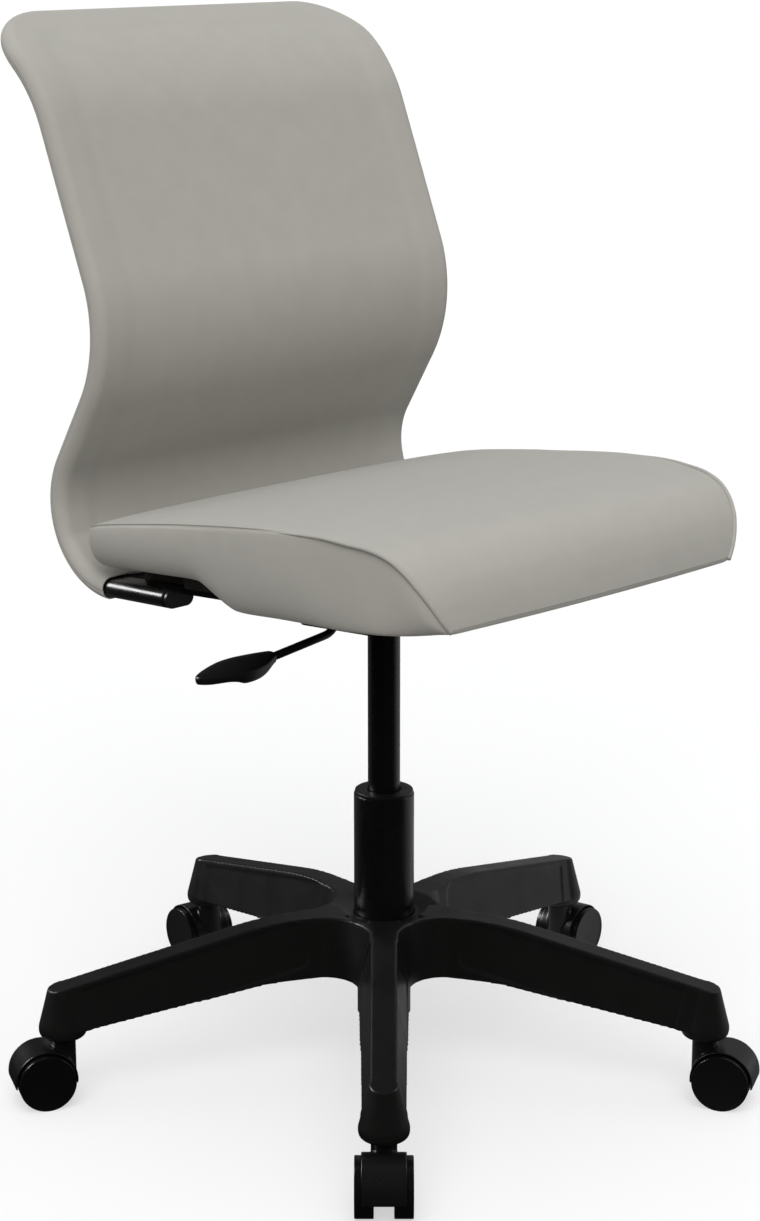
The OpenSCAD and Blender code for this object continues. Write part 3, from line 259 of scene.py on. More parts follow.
def catmull_rom(a, b, c, d, u):
    """Value between b and c at the share u, smooth through a, b, c and d."""
    bend = (2 * a - 5 * b + 4 * c - d) * u * u
    twist = (3 * b - a - 3 * c + d) * u ** 3
    return 0.5 * (2 * b + (c - a) * u + bend + twist)


def spline(values, t):
    """Smooth curve through equally spaced values, each a tuple."""
    last = len(values) - 1
    i = min(last - 1, max(0, int(math.floor(t))))
    near = (values[min(last, max(0, k))] for k in (i - 1, i, i + 1, i + 2))
    return tuple(catmull_rom(*four, t - i) for four in zip(*near))


def along_profile(profile, k, steps):
    """Point number k of a profile that is followed in so many steps."""
    return spline(profile, k / steps * (len(profile) - 1))


def fillet(points, radii, steps=5, closed=True):
    """Polygon with its corners rounded; radii is one number or one for each corner."""
    n = len(points)
    if not hasattr(radii, "__len__"):
        radii = [radii] * n
    out = []
    for i in range(n):
        p, r = Vector(points[i]), radii[i]
        if r <= 0 or (not closed and i in (0, n - 1)):
            out.append(p)
            continue
        a = Vector(points[i - 1]) - p
        b = Vector(points[(i + 1) % n]) - p
        half = a.angle(b) / 2
        # Just under half of each side, so that neighbouring corners stay apart
        reach = min(r / math.tan(half), a.length * 0.49, b.length * 0.49)
        start, end = p + a.normalized() * reach, p + b.normalized() * reach
        for k in range(steps + 1):
            t = k / steps
            out.append(start * (1 - t) ** 2 + p * 2 * t * (1 - t) + end * t * t)
    return out


# Meshes


def new_mesh(name, points, faces):
    """Smooth object with these points, in millimetres, welded and with its normals outward."""
    mesh = bpy.data.meshes.new(name)
    mesh.from_pydata([Vector(p) * MM for p in points], [], faces)
    mesh.validate()
    bm = bmesh.new()
    bm.from_mesh(mesh)
    bmesh.ops.remove_doubles(bm, verts=bm.verts, dist=1e-6)
    bmesh.ops.recalc_face_normals(bm, faces=bm.faces)
    bm.to_mesh(mesh)
    bm.free()
    mesh.shade_smooth()
    obj = bpy.data.objects.new(name, mesh)
    bpy.context.scene.collection.objects.link(obj)
    return obj


def tube_faces(rings, count, closed=True, looped=False):
    """Quads between successive rings of count points; a loop also joins the last to the first."""
    faces = []
    for i in range(rings if looped else rings - 1):
        here, there = i * count, (i + 1) % rings * count
        for j in range(count if closed else count - 1):
            k = (j + 1) % count
            faces.append((here + j, here + k, there + k, there + j))
    return faces


def cap_rings(ring, bulge, steps=4):
    """Rings that close an end smoothly, from the given ring towards its centre."""
    centre = sum((Vector(p) for p in ring), Vector()) / len(ring)
    out = []
    for k in range(1, steps + 1):
        t = k / (steps + 0.5)
        push = Vector(bulge) * (1 - (1 - t) ** 2)
        out.append([Vector(p).lerp(centre, t) + push for p in ring])
    return out


def skin(name, rings, ends=(None, None)):
    """Closed skin over rings. ends gives the bulge of each end's cap, or None for a flat end."""
    rings = [[Vector(p) for p in r] for r in rings]
    if ends[0] is not None:
        rings = list(reversed(cap_rings(rings[0], ends[0]))) + rings
    if ends[1] is not None:
        rings = rings + cap_rings(rings[-1], ends[1])
    n = len(rings[0])
    faces = tube_faces(len(rings), n)
    faces.append(tuple(reversed(range(n))))
    faces.append(tuple((len(rings) - 1) * n + j for j in range(n)))
    return new_mesh(name, [p for r in rings for p in r], faces)


def lathe(name, section, rounding, steps=5, segments=72):
    """Solid of revolution about Z from a closed half section of (radius, height)."""
    profile = fillet(section, rounding, steps)
    angles = [2 * math.pi * k / segments for k in range(segments)]
    points = [(r * math.cos(a), r * math.sin(a), z) for a in angles for r, z in profile]
    return new_mesh(name, points, tube_faces(segments, len(profile), looped=True))


def sweep(name, path, radii, sides=12):
    """Round rod along a path, with an untwisted section and a radius for each point."""
    angles = [2 * math.pi * k / sides for k in range(sides)]
    rings = []
    side = None
    for i, (p, radius) in enumerate(zip(path, radii)):
        t = (path[min(i + 1, len(path) - 1)] - path[max(i - 1, 0)]).normalized()
        if side is None:
            across = Vector((0, 0, 1)) if abs(t.z) < 0.9 else Vector((1, 0, 0))
            side = t.cross(across).normalized()
        side = (side - t * side.dot(t)).normalized()
        other = t.cross(side)
        rings.append([p + radius * (math.cos(a) * side + math.sin(a) * other) for a in angles])
    return skin(name, rings)


def shift(x, y, z):
    """Matrix of a move in millimetres."""
    return Matrix.Translation(Vector((x, y, z)) * MM)


def turn(degrees, axis):
    """Matrix of a turn about an axis through the origin."""
    return Matrix.Rotation(math.radians(degrees), 4, axis)


def add_cloth(obj, thickness, offset):
    """Turns an open skin into a cloth of this thickness, in millimetres, with no modifier left."""
    shell = obj.modifiers.new("cloth", "SOLIDIFY")
    shell.thickness = thickness * MM
    shell.offset = offset
    graph = bpy.context.evaluated_depsgraph_get()
    graph.update()
    mesh = bpy.data.meshes.new_from_object(obj.evaluated_get(graph), depsgraph=graph)
    obj.modifiers.clear()
    obj.data = mesh
    mesh.shade_smooth()


def add_uv(obj):
    """UVs in metres from the points' own places, by the face's main direction."""
    mesh = obj.data
    layer = mesh.uv_layers.new(name="cloth")
    for face in mesh.polygons:
        n = face.normal
        for loop in face.loop_indices:
            v = mesh.vertices[mesh.loops[loop].vertex_index].co
            if abs(n.x) > 0.75:
                layer.data[loop].uv = (v.y, v.z)
            elif abs(n.z) > abs(n.y):
                layer.data[loop].uv = (v.x, v.y)
            else:
                layer.data[loop].uv = (v.x, v.z)


def finish_piece(obj, material, body, node):
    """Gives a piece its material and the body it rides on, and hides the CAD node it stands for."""
    obj.data.materials.clear()
    obj.data.materials.append(materials[material])
    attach(obj, body)
    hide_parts(node)


# Shader nodes


def add(tree, kind, inputs=None, **settings):
    """New node with these settings and these values at its inputs."""
    node = tree.nodes.new(kind)
    for key, value in settings.items():
        setattr(node, key, value)
    for key, value in (inputs or {}).items():
        node.inputs[key].default_value = value
    return node


def remap(tree, value, span, levels, interpolation="LINEAR"):
    """Value carried from a span over to a pair of levels."""
    ramp = add(tree, "ShaderNodeMapRange",
               {"From Min": span[0], "From Max": span[1], "To Min": levels[0], "To Max": levels[1]},
               interpolation_type=interpolation)
    tree.links.new(value, ramp.inputs["Value"])
    return ramp.outputs["Result"]


def math_node(tree, operation, *values):
    """Result of a math node; each value is a socket or a number."""
    node = add(tree, "ShaderNodeMath", operation=operation)
    for slot, value in zip(node.inputs, values):
        if isinstance(value, float):
            slot.default_value = value
        else:
            tree.links.new(value, slot)
    return node.outputs["Value"]


def object_noise(tree, scale, detail=4.0, roughness=0.55):
    """Noise over the object's own coordinates."""
    coords = add(tree, "ShaderNodeTexCoord")
    noise = add(tree, "ShaderNodeTexNoise",
                {"Scale": scale, "Detail": detail, "Roughness": roughness})
    tree.links.new(coords.outputs["Object"], noise.inputs["Vector"])
    return noise.outputs["Fac"]


def vary_colour(tree, shader, colour, amount, scale):
    """Mottles the base colour around its own value."""
    share = remap(tree, object_noise(tree, scale), (0.3, 0.7), (1 - amount, 1 + amount))
    mix = add(tree, "ShaderNodeVectorMath", {0: colour}, operation="SCALE")
    tree.links.new(share, mix.inputs["Scale"])
    tree.links.new(mix.outputs["Vector"], shader.inputs["Base Color"])


def vary_roughness(tree, shader, roughness, scale):
    """Lets the roughness wander between two values."""
    value = remap(tree, object_noise(tree, scale), (0.35, 0.65), roughness)
    tree.links.new(value, shader.inputs["Roughness"])


def bump(tree, shader, height, strength, distance=0.0002):
    """Roughens the surface by a height socket; distance is in metres."""
    node = add(tree, "ShaderNodeBump", {"Strength": strength, "Distance": distance})
    tree.links.new(height, node.inputs["Height"])
    tree.links.new(node.outputs["Normal"], shader.inputs["Normal"])


def weave_height(tree, pitch, fibre_scale=900.0, fibre_share=1.2):
    """Plain weave over UVs in metres: two crossed waves, broken up by fine noise."""
    coords = add(tree, "ShaderNodeTexCoord")
    split = add(tree, "ShaderNodeSeparateXYZ")
    tree.links.new(coords.outputs["UV"], split.inputs["Vector"])
    waves = []
    for axis in ("X", "Y"):
        phase = math_node(tree, "MULTIPLY", split.outputs[axis], 2 * math.pi / pitch)
        waves.append(math_node(tree, "SINE", phase))
    weave = math_node(tree, "MULTIPLY", *waves)
    fibres = object_noise(tree, fibre_scale, detail=2.0)
    return math_node(tree, "MULTIPLY_ADD", fibres, fibre_share, weave)


# Materials


def node_material(name, colour, roughness, metallic=0.0, specular=0.5, coat=0.0, sheen=0.0):
    """New material, as (material, node tree, shader)."""
    mat = bpy.data.materials.new(name)
    mat.use_nodes = True
    shader = mat.node_tree.nodes["Principled BSDF"]
    values = {
        "Base Color": (*colour, 1),
        "Roughness": roughness,
        "Metallic": metallic,
        "Specular IOR Level": specular,
        "Coat Weight": coat,
        "Coat Roughness": 0.25,
        "Sheen Weight": sheen,
        "Sheen Roughness": 0.5,
    }
    for key, value in values.items():
        shader.inputs[key].default_value = value
    return mat, mat.node_tree, shader


def cloth_material(name, colour, pitch=0.0012):
    """Woven cloth over UVs in metres, with the pitch of its threads."""
    mat, tree, shader = node_material(name, colour, roughness=0.78, specular=0.25, sheen=0.12)
    vary_colour(tree, shader, colour, amount=0.02, scale=45.0)
    bump(tree, shader, weave_height(tree, pitch), strength=0.12)
    return mat


def moulded_material(name, colour, roughness, grain=0.06):
    """Moulded plastic or foam; roughness is the pair of values it wanders between."""
    mat, tree, shader = node_material(name, colour, roughness[0])
    vary_colour(tree, shader, colour, amount=0.06, scale=60.0)
    vary_roughness(tree, shader, roughness, scale=35.0)
    bump(tree, shader, object_noise(tree, 1600.0, detail=2.0), strength=grain)
    return mat


def painted_material(name, colour, roughness):
    """Paint under a thin clear coat."""
    mat, tree, shader = node_material(name, colour, roughness, coat=0.15)
    vary_roughness(tree, shader, (roughness - 0.04, roughness + 0.05), scale=50.0)
    bump(tree, shader, object_noise(tree, 700.0, detail=3.0), strength=0.05)
    return mat


def steel_material(name, colour):
    """Plated steel with an uneven polish."""
    mat, tree, shader = node_material(name, colour, roughness=0.3, metallic=1.0)
    vary_roughness(tree, shader, (0.24, 0.38), scale=90.0)
    return mat


def ply_material(name, colour):
    """Plywood coloured near black, as dark as the shaded gap under the seat where it shows, with
    its grain drawn out along the board.
    """
    mat, tree, shader = node_material(name, colour, roughness=0.6)
    coords = add(tree, "ShaderNodeTexCoord")
    stretch = add(tree, "ShaderNodeMapping", {"Scale": (6.0, 60.0, 600.0)})
    grain = add(tree, "ShaderNodeTexNoise", {"Scale": 3.0, "Detail": 6.0})
    tree.links.new(coords.outputs["Object"], stretch.inputs["Vector"])
    tree.links.new(stretch.outputs["Vector"], grain.inputs["Vector"])
    bump(tree, shader, grain.outputs["Fac"], strength=0.2, distance=0.0004)
    vary_colour(tree, shader, colour, amount=0.15, scale=30.0)
    return mat


materials = {
    "cloth": cloth_material("warm grey upholstery", GREY),
    # Piping in the cloth's colour, darkened a little as painted shade for the seam's shadow line
    "piping": cloth_material("warm grey piping with painted seam shade", tuple(PIPING_PAINTED_SHADE * c for c in GREY), 0.0009),
    "lining": cloth_material("black lining", (0.012, 0.012, 0.012), 0.0015),
    "nylon": moulded_material("black moulded nylon", BLACK, (0.36, 0.44)),
    "hood": moulded_material("black hood", (0.0045, 0.0045, 0.0045), (0.26, 0.32), 0.03),
    "wheel": moulded_material("black wheel", (0.003, 0.003, 0.003), (0.20, 0.27), 0.02),
    "paint": painted_material("black powder coat", (0.004, 0.004, 0.004), 0.30),
    "tube": painted_material("black column paint", (0.0035, 0.0035, 0.0035), 0.26),
    "steel": steel_material("bright zinc", (0.5, 0.5, 0.52)),
    # The board's near-black colour is as dark as the shaded gap under the seat where it shows
    "ply": ply_material("near-black plywood", (0.02, 0.016, 0.013)),
    "foam": moulded_material("dark foam", (0.05, 0.05, 0.048), (0.8, 0.9), 0.4),
}


# Camera, light and floor


def make_camera():
    """Camera at the photograph's place, looking along the diagonal between X and Y."""
    data = bpy.data.cameras.new("camera")
    data.lens = CAMERA_LENS
    data.sensor_width = CAMERA_SENSOR
    data.shift_x = CAMERA_SHIFT_X
    cam = bpy.data.objects.new("camera", data)
    bpy.context.scene.collection.objects.link(cam)
    cam.location = CAMERA_PLACE
    flat = math.cos(CAMERA_PITCH) / math.sqrt(2)
    look = Vector((flat, flat, -math.sin(CAMERA_PITCH)))
    cam.rotation_euler = look.to_track_quat("-Z", "Y").to_euler()
    bpy.context.scene.camera = cam


def new_light(name, kind, power, look):
    """Light that looks along a direction, as (object, its data)."""
    data = bpy.data.lights.new(name, kind)
    data.energy = power
    obj = bpy.data.objects.new(name, data)
    bpy.context.scene.collection.objects.link(obj)
    obj.rotation_euler = look.to_track_quat("-Z", "Y").to_euler()
    return obj, data


def softbox(name, place_m, target_m, size, power):
    """Area light that shows only in reflections; places and size are in metres."""
    obj, data = new_light(name, "AREA", power, Vector(target_m) - Vector(place_m))
    data.shape = "RECTANGLE"
    data.size, data.size_y = size
    obj.location = place_m
    obj.visible_diffuse = False


def soft_sun(name, direction, strength, degrees, colour):
    """Wide sun that lights and casts shadows, but shows in no reflection."""
    obj, data = new_light(name, "SUN", strength, -Vector(direction))
    data.angle = math.radians(degrees)
    data.color = colour
    obj.visible_glossy = False


def shade_along(tree, place, direction, span, levels):
    """Value that goes from one level to another along a direction."""
    dot = add(tree, "ShaderNodeVectorMath", {1: direction}, operation="DOT_PRODUCT")
    tree.links.new(place, dot.inputs[0])
    return remap(tree, dot.outputs["Value"], span, levels, "SMOOTHSTEP")


def studio_gloss(tree, place, span, levels):
    """Brightness of the mirrored studio at a place."""
    bright = shade_along(tree, place, BRIGHT_SIDE, span, levels)
    return math_node(tree, "MULTIPLY", bright, shade_along(tree, place, DIM_SIDE, DIM_SPAN, DIM))


def mixed(tree, share, first, second):
    """Mix of two shader outputs; the share is a socket or a number."""
    mix = add(tree, "ShaderNodeMixShader")
    if isinstance(share, float):
        mix.inputs[0].default_value = share
    else:
        tree.links.new(share, mix.inputs[0])
    tree.links.new(first, mix.inputs[1])
    tree.links.new(second, mix.inputs[2])
    return mix.outputs[0]


def glow(tree, kind, strength, colour=WHITE):
    """Output of a glowing shader; the strength is a socket or a number."""
    shader = add(tree, kind, {"Color": (*colour, 1)})
    if isinstance(strength, float):
        shader.inputs["Strength"].default_value = strength
    else:
        tree.links.new(strength, shader.inputs["Strength"])
    return shader.outputs[0]


def matt(tree, colour):
    """Output of a diffuse shader."""
    return add(tree, "ShaderNodeBsdfDiffuse", {"Color": (*colour, 1)}).outputs[0]


def split_rays(tree, seen, lit, mirrored):
    """What the camera sees, what lights the chair and what is mirrored in it."""
    path = add(tree, "ShaderNodeLightPath")
    unseen = mixed(tree, path.outputs["Is Glossy Ray"], lit, mirrored)
    return mixed(tree, path.outputs["Is Camera Ray"], unseen, seen)


def make_floor():
    """Pale floor at height 0."""
    r = FLOOR_REACH
    floor = new_mesh("floor", [(-r, -r, 0), (r, -r, 0), (r, r, 0), (-r, r, 0)], [(0, 1, 2, 3)])
    mat = bpy.data.materials.new("pale floor")
    mat.use_nodes = True
    tree = mat.node_tree
    tree.nodes.clear()
    place = add(tree, "ShaderNodeTexCoord").outputs["Object"]
    bright = glow(tree, "ShaderNodeEmission", FLOOR_GLOW)
    gloss = studio_gloss(tree, place, FLOOR_GLOSS_SPAN, FLOOR_GLOSS)
    surface = split_rays(
        tree,
        seen=mixed(tree, FLOOR_SHADOW_SHARE, bright, matt(tree, FLOOR_WHITE)),
        lit=matt(tree, FLOOR_LIT),
        mirrored=glow(tree, "ShaderNodeEmission", gloss),
    )
    tree.links.new(surface, add(tree, "ShaderNodeOutputMaterial").inputs["Surface"])
    floor.data.materials.append(mat)


def make_world():
    """Pale surroundings, with the studio that black pieces mirror."""
    world = bpy.data.worlds.new("studio")
    bpy.context.scene.world = world
    world.use_nodes = True
    tree = world.node_tree
    tree.nodes.clear()
    place = add(tree, "ShaderNodeTexCoord").outputs["Generated"]
    gloss = studio_gloss(tree, place, WORLD_GLOSS_SPAN, WORLD_GLOSS)
    surface = split_rays(
        tree,
        seen=glow(tree, "ShaderNodeBackground", WORLD_SEEN),
        lit=glow(tree, "ShaderNodeBackground", WORLD_LIT, WORLD_TINT),
        mirrored=glow(tree, "ShaderNodeBackground", gloss),
    )
    tree.links.new(surface, add(tree, "ShaderNodeOutputWorld").inputs["Surface"])


def make_stage():
    """Floor, surroundings, lights and the view's colours."""
    make_floor()
    make_world()
    for name, values in SUNS.items():
        soft_sun(name, *values)
    for name, values in SOFTBOXES.items():
        softbox(name, *values)
    view = bpy.context.scene.view_settings
    view.view_transform = "Standard"
    view.look = "None"


# The back, developed flat: x across, s along the centre line, n towards the sitter


def centre_line(s):
    """The back's centre line at a length from its start, as (y, z, angle)."""
    y, z, degrees = BACK_START
    a = math.radians(degrees)
    last = len(BACK_RUNS) - 1
    for i, (length, degrees) in enumerate(BACK_RUNS):
        part = s if s <= length or i == last else length
        bend = math.radians(degrees) * part / length
        if abs(bend) < 1e-9:
            y, z = y + part * math.cos(a), z + part * math.sin(a)
        else:
            r = part / bend
            y += r * (math.sin(a + bend) - math.sin(a))
            z += r * (math.cos(a) - math.cos(a + bend))
        a += bend
        if part < length or s <= length:
            break
        s -= length
    return y, z, a


def back_point(x, s, n):
    """Point in space of a developed point."""
    y, z, a = centre_line(s)
    return Vector((x, y - n * math.sin(a), z + n * math.cos(a)))


def band_half(d):
    """Half thickness of the flat band at a distance inside the outline."""
    return ROLL_R - (ROLL_R - WEB_HALF) * smooth_share((d - ROLL_FLAT) / ROLL_BLEND)


def roll_radius(degrees):
    """Radius of the rolled edge at an angle from its middle."""
    t = abs(degrees - SEAM_DEG) / SEAM_HALF_DEG
    return ROLL_R - (SEAM_DEPTH * (1 - smooth_share(t)) if t < 1 else 0.0)


def band_profile():
    """Section of the sleeve's edge from front to rear: (distance inside the outline, height)."""
    flat = [BAND_IN - (BAND_IN - ROLL_R) * k / FLAT_STEPS for k in range(FLAT_STEPS + 1)]
    front = [(d, band_half(d)) for d in flat]
    even = [90 - ROLL_STEP_DEG * k for k in range(1, int(180 / ROLL_STEP_DEG))]
    clear = [a for a in even if abs(a - SEAM_DEG) > SEAM_CLEAR_DEG]
    roll = []
    for degrees in sorted(clear + SEAM_STEPS, reverse=True):
        r, a = roll_radius(degrees), math.radians(degrees)
        roll.append((ROLL_R - r * math.cos(a), r * math.sin(a)))
    return front + roll + [(d, -n) for d, n in reversed(front)]


def left_outline():
    """Left half of the sleeve's outline, up from its lower end: (x, s, inward x, inward s)."""
    rise = CORNER_START - SLEEVE_START
    stations = [(-BACK_W / 2, SLEEVE_START + rise * k / SIDE_ROWS, 1.0, 0.0)
                for k in range(SIDE_ROWS + 1)]
    for k in range(1, CORNER_ROWS + 1):
        a = math.radians(180 - 90 * k / CORNER_ROWS)
        x = -(BACK_W / 2 - CORNER_R) + CORNER_R * math.cos(a)
        stations.append((x, CORNER_START + CORNER_R * math.sin(a), -math.cos(a), -math.sin(a)))
    return stations


def whole_outline(left):
    """The sleeve's outline from the left side over the top to the right side."""
    inner = BACK_W / 2 - CORNER_R
    top = [(-inner + 2 * inner * k / WEB_COLUMNS, OUTLINE_TOP, 0.0, -1.0)
           for k in range(1, WEB_COLUMNS)]
    return left + top + [(-x, s, -nx, ns) for x, s, nx, ns in reversed(left)]


def sleeve_point(x, s, n):
    """Point in space of the sleeve, with the crease pressed into its front face."""
    if n > 0:
        across = max(0.0, abs(abs(x) - CREASE_X) - CREASE_FLAT) / CREASE_FADE_X
        along = (s - CREASE_S) / CREASE_FADE_S
        n *= 1 - CREASE_DEPTH / ROLL_R * math.exp(-across * across - along * along)
    return back_point(x, s, n)


def make_sleeve():
    """Cloth around the back: the band along its edge, then the front and rear web between."""
    left, profile = left_outline(), band_profile()
    stations = whole_outline(left)
    points = [sleeve_point(x + nx * d, s + ns * d, n)
              for x, s, nx, ns in stations for d, n in profile]
    faces = tube_faces(len(stations), len(profile), closed=False)
    web = tube_faces(len(left), WEB_COLUMNS + 1, closed=False)
    for front in (1, -1):
        base = len(points)
        for x, s, nx, ns in left:
            edge = x + nx * BAND_IN
            points += [
                sleeve_point(edge * (1 - 2 * k / WEB_COLUMNS), s + ns * BAND_IN, front * WEB_HALF)
                for k in range(WEB_COLUMNS + 1)
            ]
        faces += [tuple(base + q for q in face) for face in web]
    sleeve = new_mesh("back_sleeve", points, faces)
    add_cloth(sleeve, SLEEVE_T, offset=-1)
    add_uv(sleeve)
    finish_piece(sleeve, "cloth", "seat", "back_cover")


def make_pad():
    """Foam between the tubes, inside the sleeve."""
    start, end = SLEEVE_START + PAD_ABOVE, TUBE_TOP - TUBE_W / 2 - PAD_GAP
    bend_s, bend_r = TUBE_TOP - TUBE_CORNER, TUBE_CORNER - TUBE_W / 2 - PAD_GAP
    angles = [math.pi / 2 * k / 5 for k in range(6)]
    rings = []
    for k in range(PAD_ROWS + 1):
        s = start + (end - start) * k / PAD_ROWS
        into = max(0.0, s - bend_s)
        half_w = TUBE_X - TUBE_CORNER + math.sqrt(max(0.0, bend_r * bend_r - into * into))
        share = 1 - PAD_THINNER * (1 - smooth_share(min(s - start, end - s) / PAD_TAPER))
        corner = [(half_w - PAD_EDGE * (1 - math.cos(a)), PAD_HALF - PAD_EDGE * (1 - math.sin(a)))
                  for a in angles]
        section = (corner + [(-x, n) for x, n in reversed(corner)] + [(-x, -n) for x, n in corner]
                   + [(x, -n) for x, n in reversed(corner)])
        rings.append([back_point(x, s, n * share) for x, n in section])
    pad = skin("back_foam", rings)
    finish_piece(pad, "foam", "seat", "back_pad")


def oval(points=14):
    """The tube's flat-oval section as (across, normal) pairs."""
    r, c = TUBE_T / 2, TUBE_W / 2 - TUBE_T / 2
    angles = [math.radians(-90 + 180 * k / (points - 1)) for k in range(points)]
    return ([(c + r * math.cos(a), r * math.sin(a)) for a in angles]
            + [(-c - r * math.cos(a), -r * math.sin(a)) for a in angles])


def tube_path():
    """The tube's path in the developed back: (x, s, heading in degrees)."""
    straight = TUBE_TOP - TUBE_CORNER
    half = [(-TUBE_X, straight * k / TUBE_ROWS, 180.0) for k in range(TUBE_ROWS + 1)]
    for k in range(1, TUBE_CORNER_ROWS + 1):
        a = math.radians(90 * k / TUBE_CORNER_ROWS)
        x = -TUBE_X + TUBE_CORNER * (1 - math.cos(a))
        s = TUBE_TOP - TUBE_CORNER * (1 - math.sin(a))
        half.append((x, s, 180 - math.degrees(a)))
    return half + [(-x, s, 180 - a) for x, s, a in reversed(half)]


def make_tube():
    """The back's bent tube."""
    rings = []
    for x, s, degrees in tube_path():
        c, w = math.cos(math.radians(degrees)), math.sin(math.radians(degrees))
        rings.append([back_point(x + q * c, s + q * w, n) for q, n in oval()])
    finish_piece(skin("frame_tube", rings), "paint", "seat", "back_frame")


# The seat


def place_on_seat(obj):
    """Moves a mesh from the seat's own frame to its place, with the object left at the origin."""
    obj.data.transform(shift(0, 0, SEAT_REF_Z) @ turn(-SEAT_TILT, "X"))
    add_uv(obj)


def seat_station(t):
    """Seat at a station: place along Y, heights of the seam and lower edge, half widths at both."""
    y, top, low, w, wl = spline(SEAT_STATIONS, t)
    return SEAT_REAR - y * SEAT_DEPTH, top * SEAT_H, low * SEAT_H, w * SEAT_W / 2, wl * SEAT_W / 2


def bowed(x, y):
    """Place along the depth, where the front edge stands back from its middle to its corners."""
    share = smooth_share(1 - (y + SEAT_DEPTH - SEAT_REAR) / BOW_REACH)
    return y + SEAT_BOW * share * (2 * x / SEAT_W / BOW_CORNER) ** 2


def front_share(y):
    """How far the seam has come towards the front corner, where its piping stands out: 0 to 1."""
    return smooth_share(((SEAT_REAR - y) / SEAT_DEPTH - FRONT_START) / FRONT_LEN)


def board_inset(x, y):
    """Distance of a point inside the seat board's outline."""
    middle = (BOARD_REAR - BOARD_FRONT) / 2
    qx = abs(x) - (BOARD_HALF_W - BOARD_CORNER)
    qy = abs(y - middle) - ((BOARD_REAR + BOARD_FRONT) / 2 - BOARD_CORNER)
    if qx > 0 and qy > 0:
        return BOARD_CORNER - math.hypot(qx, qy)
    return BOARD_CORNER - max(qx, qy)


def under_height(x, y, low):
    """Height of the cloth below: level rim, up over the board's edge, then hidden in the board."""
    d = board_inset(x, y)
    wrap = (BOARD_LOW - WRAP_GAP) * smooth_share((d + WRAP_OUT) / WRAP_OUT)
    return max(low, wrap + WRAP_RISE * smooth_share((d - WRAP_IN) / WRAP_RISE_LEN))


def seat_ring(t):
    """Closed section across the seat at a station."""
    y, top, low, w, wl = seat_station(t)
    highest = max(low, top - UNDER_CLEAR)
    half = [(wl * a, min(under_height(wl * a, y, low), highest)) for a in UNDER_SHARES]
    half[-1] = (half[-1][0], low)
    for k in range(SIDE_STEPS):
        a, b = along_profile(SIDE_PROFILE, k, SIDE_STEPS)
        half.append((wl + a * (w - wl), low + b * (top - low)))
    deep = min(1 - GROOVE_FADE * front_share(y), (top - low) / GROOVE_FULL)
    half += [(w + across * deep, top + up * deep) for across, up in SEAM_GROOVE]
    crown = SEAT_CROWN * min(1.0, (top - low) / (SEAT_H / 2))
    for k in range(1, TOP_STEPS + 1):
        a, b = along_profile(TOP_PROFILE, k, TOP_STEPS)
        half.append((w * a, top + crown * b))
    ring = [(x, bowed(x, y), h) for x, h in half]
    return ring + [(-x, along, h) for x, along, h in reversed(ring[1:-1])]


def make_cushion():
    """Upholstery over the seat's foam and around the board's edge."""
    last = len(SEAT_STATIONS) - 1
    rings = [seat_ring(last - last * k / SEAT_ROWS) for k in range(SEAT_ROWS + 1)]
    cushion = skin("seat_upholstery", rings, ends=(None, (0, 1.5, 0)))
    place_on_seat(cushion)
    finish_piece(cushion, "cloth", "seat", "seat_cushion")


def seam_line():
    """Points of the right side's seam, from rear to front."""
    last = len(SEAT_STATIONS) - 1
    seam = []
    for k in range(SEAM_ROWS + 1):
        y, top, _, w, _ = seat_station(last * k / SEAM_ROWS)
        seam.append(Vector((w, bowed(w, y), top)))
    return seam


def piping_line(side):
    """Path and radii of the piping: sunk at the rear, proud at the front corner, then a tail."""
    seam = seam_line()
    path, radii = [], []
    for k, point in enumerate(seam):
        along = seam[min(len(seam) - 1, k + 1)] - seam[max(0, k - 1)]
        up = Vector((0, along.z, -along.y)).normalized()
        share = front_share(point.y)
        radius, across, rise = (a + (b - a) * share for a, b in zip(PIPING_REAR, PIPING_FRONT))
        x, y, z = point + across * Vector((1, 0, 0)) + rise * up
        path.append(Vector((side * x, y, z)))
        radii.append(radius)
    path.append(path[-1] + (path[-1] - path[-1 - TAIL_POINTS]).normalized() * PIPING_TAIL)
    radii.append(radii[-1])
    return path, radii


def make_piping():
    """Piping along the seam of each side."""
    for side, name in ((1, "left"), (-1, "right")):
        piping = sweep(f"seat_piping_{name}", *piping_line(side))
        place_on_seat(piping)
        finish_piece(piping, "piping", "seat", f"seat_welt_{name}")


def make_lining():
    """Black cloth stapled under the front of the board, cut out around the plate."""
    rear, front, side = LINING_REAR, -BOARD_FRONT + LINING_IN, BOARD_HALF_W - LINING_IN
    corner = BOARD_CORNER - LINING_IN
    outline = fillet(
        [(-side, front), (side, front), (side, rear), (NOTCH_X, rear),
         (NOTCH_X, NOTCH_Y), (-NOTCH_X, NOTCH_Y), (-NOTCH_X, rear), (-side, rear)],
        [corner] * 2 + [NOTCH_R] * 6, steps=6)
    points = [(x, y, BOARD_LOW - LINING_DROP) for x, y in outline]
    lining = new_mesh("seat_lining", points, [tuple(range(len(points)))])
    add_cloth(lining, LINING_T, offset=0)
    place_on_seat(lining)
    finish_piece(lining, "lining", "seat", "seat_dust_cover")


# Turned pieces and the lever


def make_column():
    """The column's outer tube and the bush at its mouth."""
    tube = lathe("column_sleeve", COLUMN_SECTION, COLUMN_ROUNDING, segments=96)
    finish_piece(tube, "tube", "base", "column_tube")
    cap = lathe("column_cap", CAP_SECTION, CAP_ROUNDING, segments=96)
    finish_piece(cap, "nylon", "base", "guide_bush")


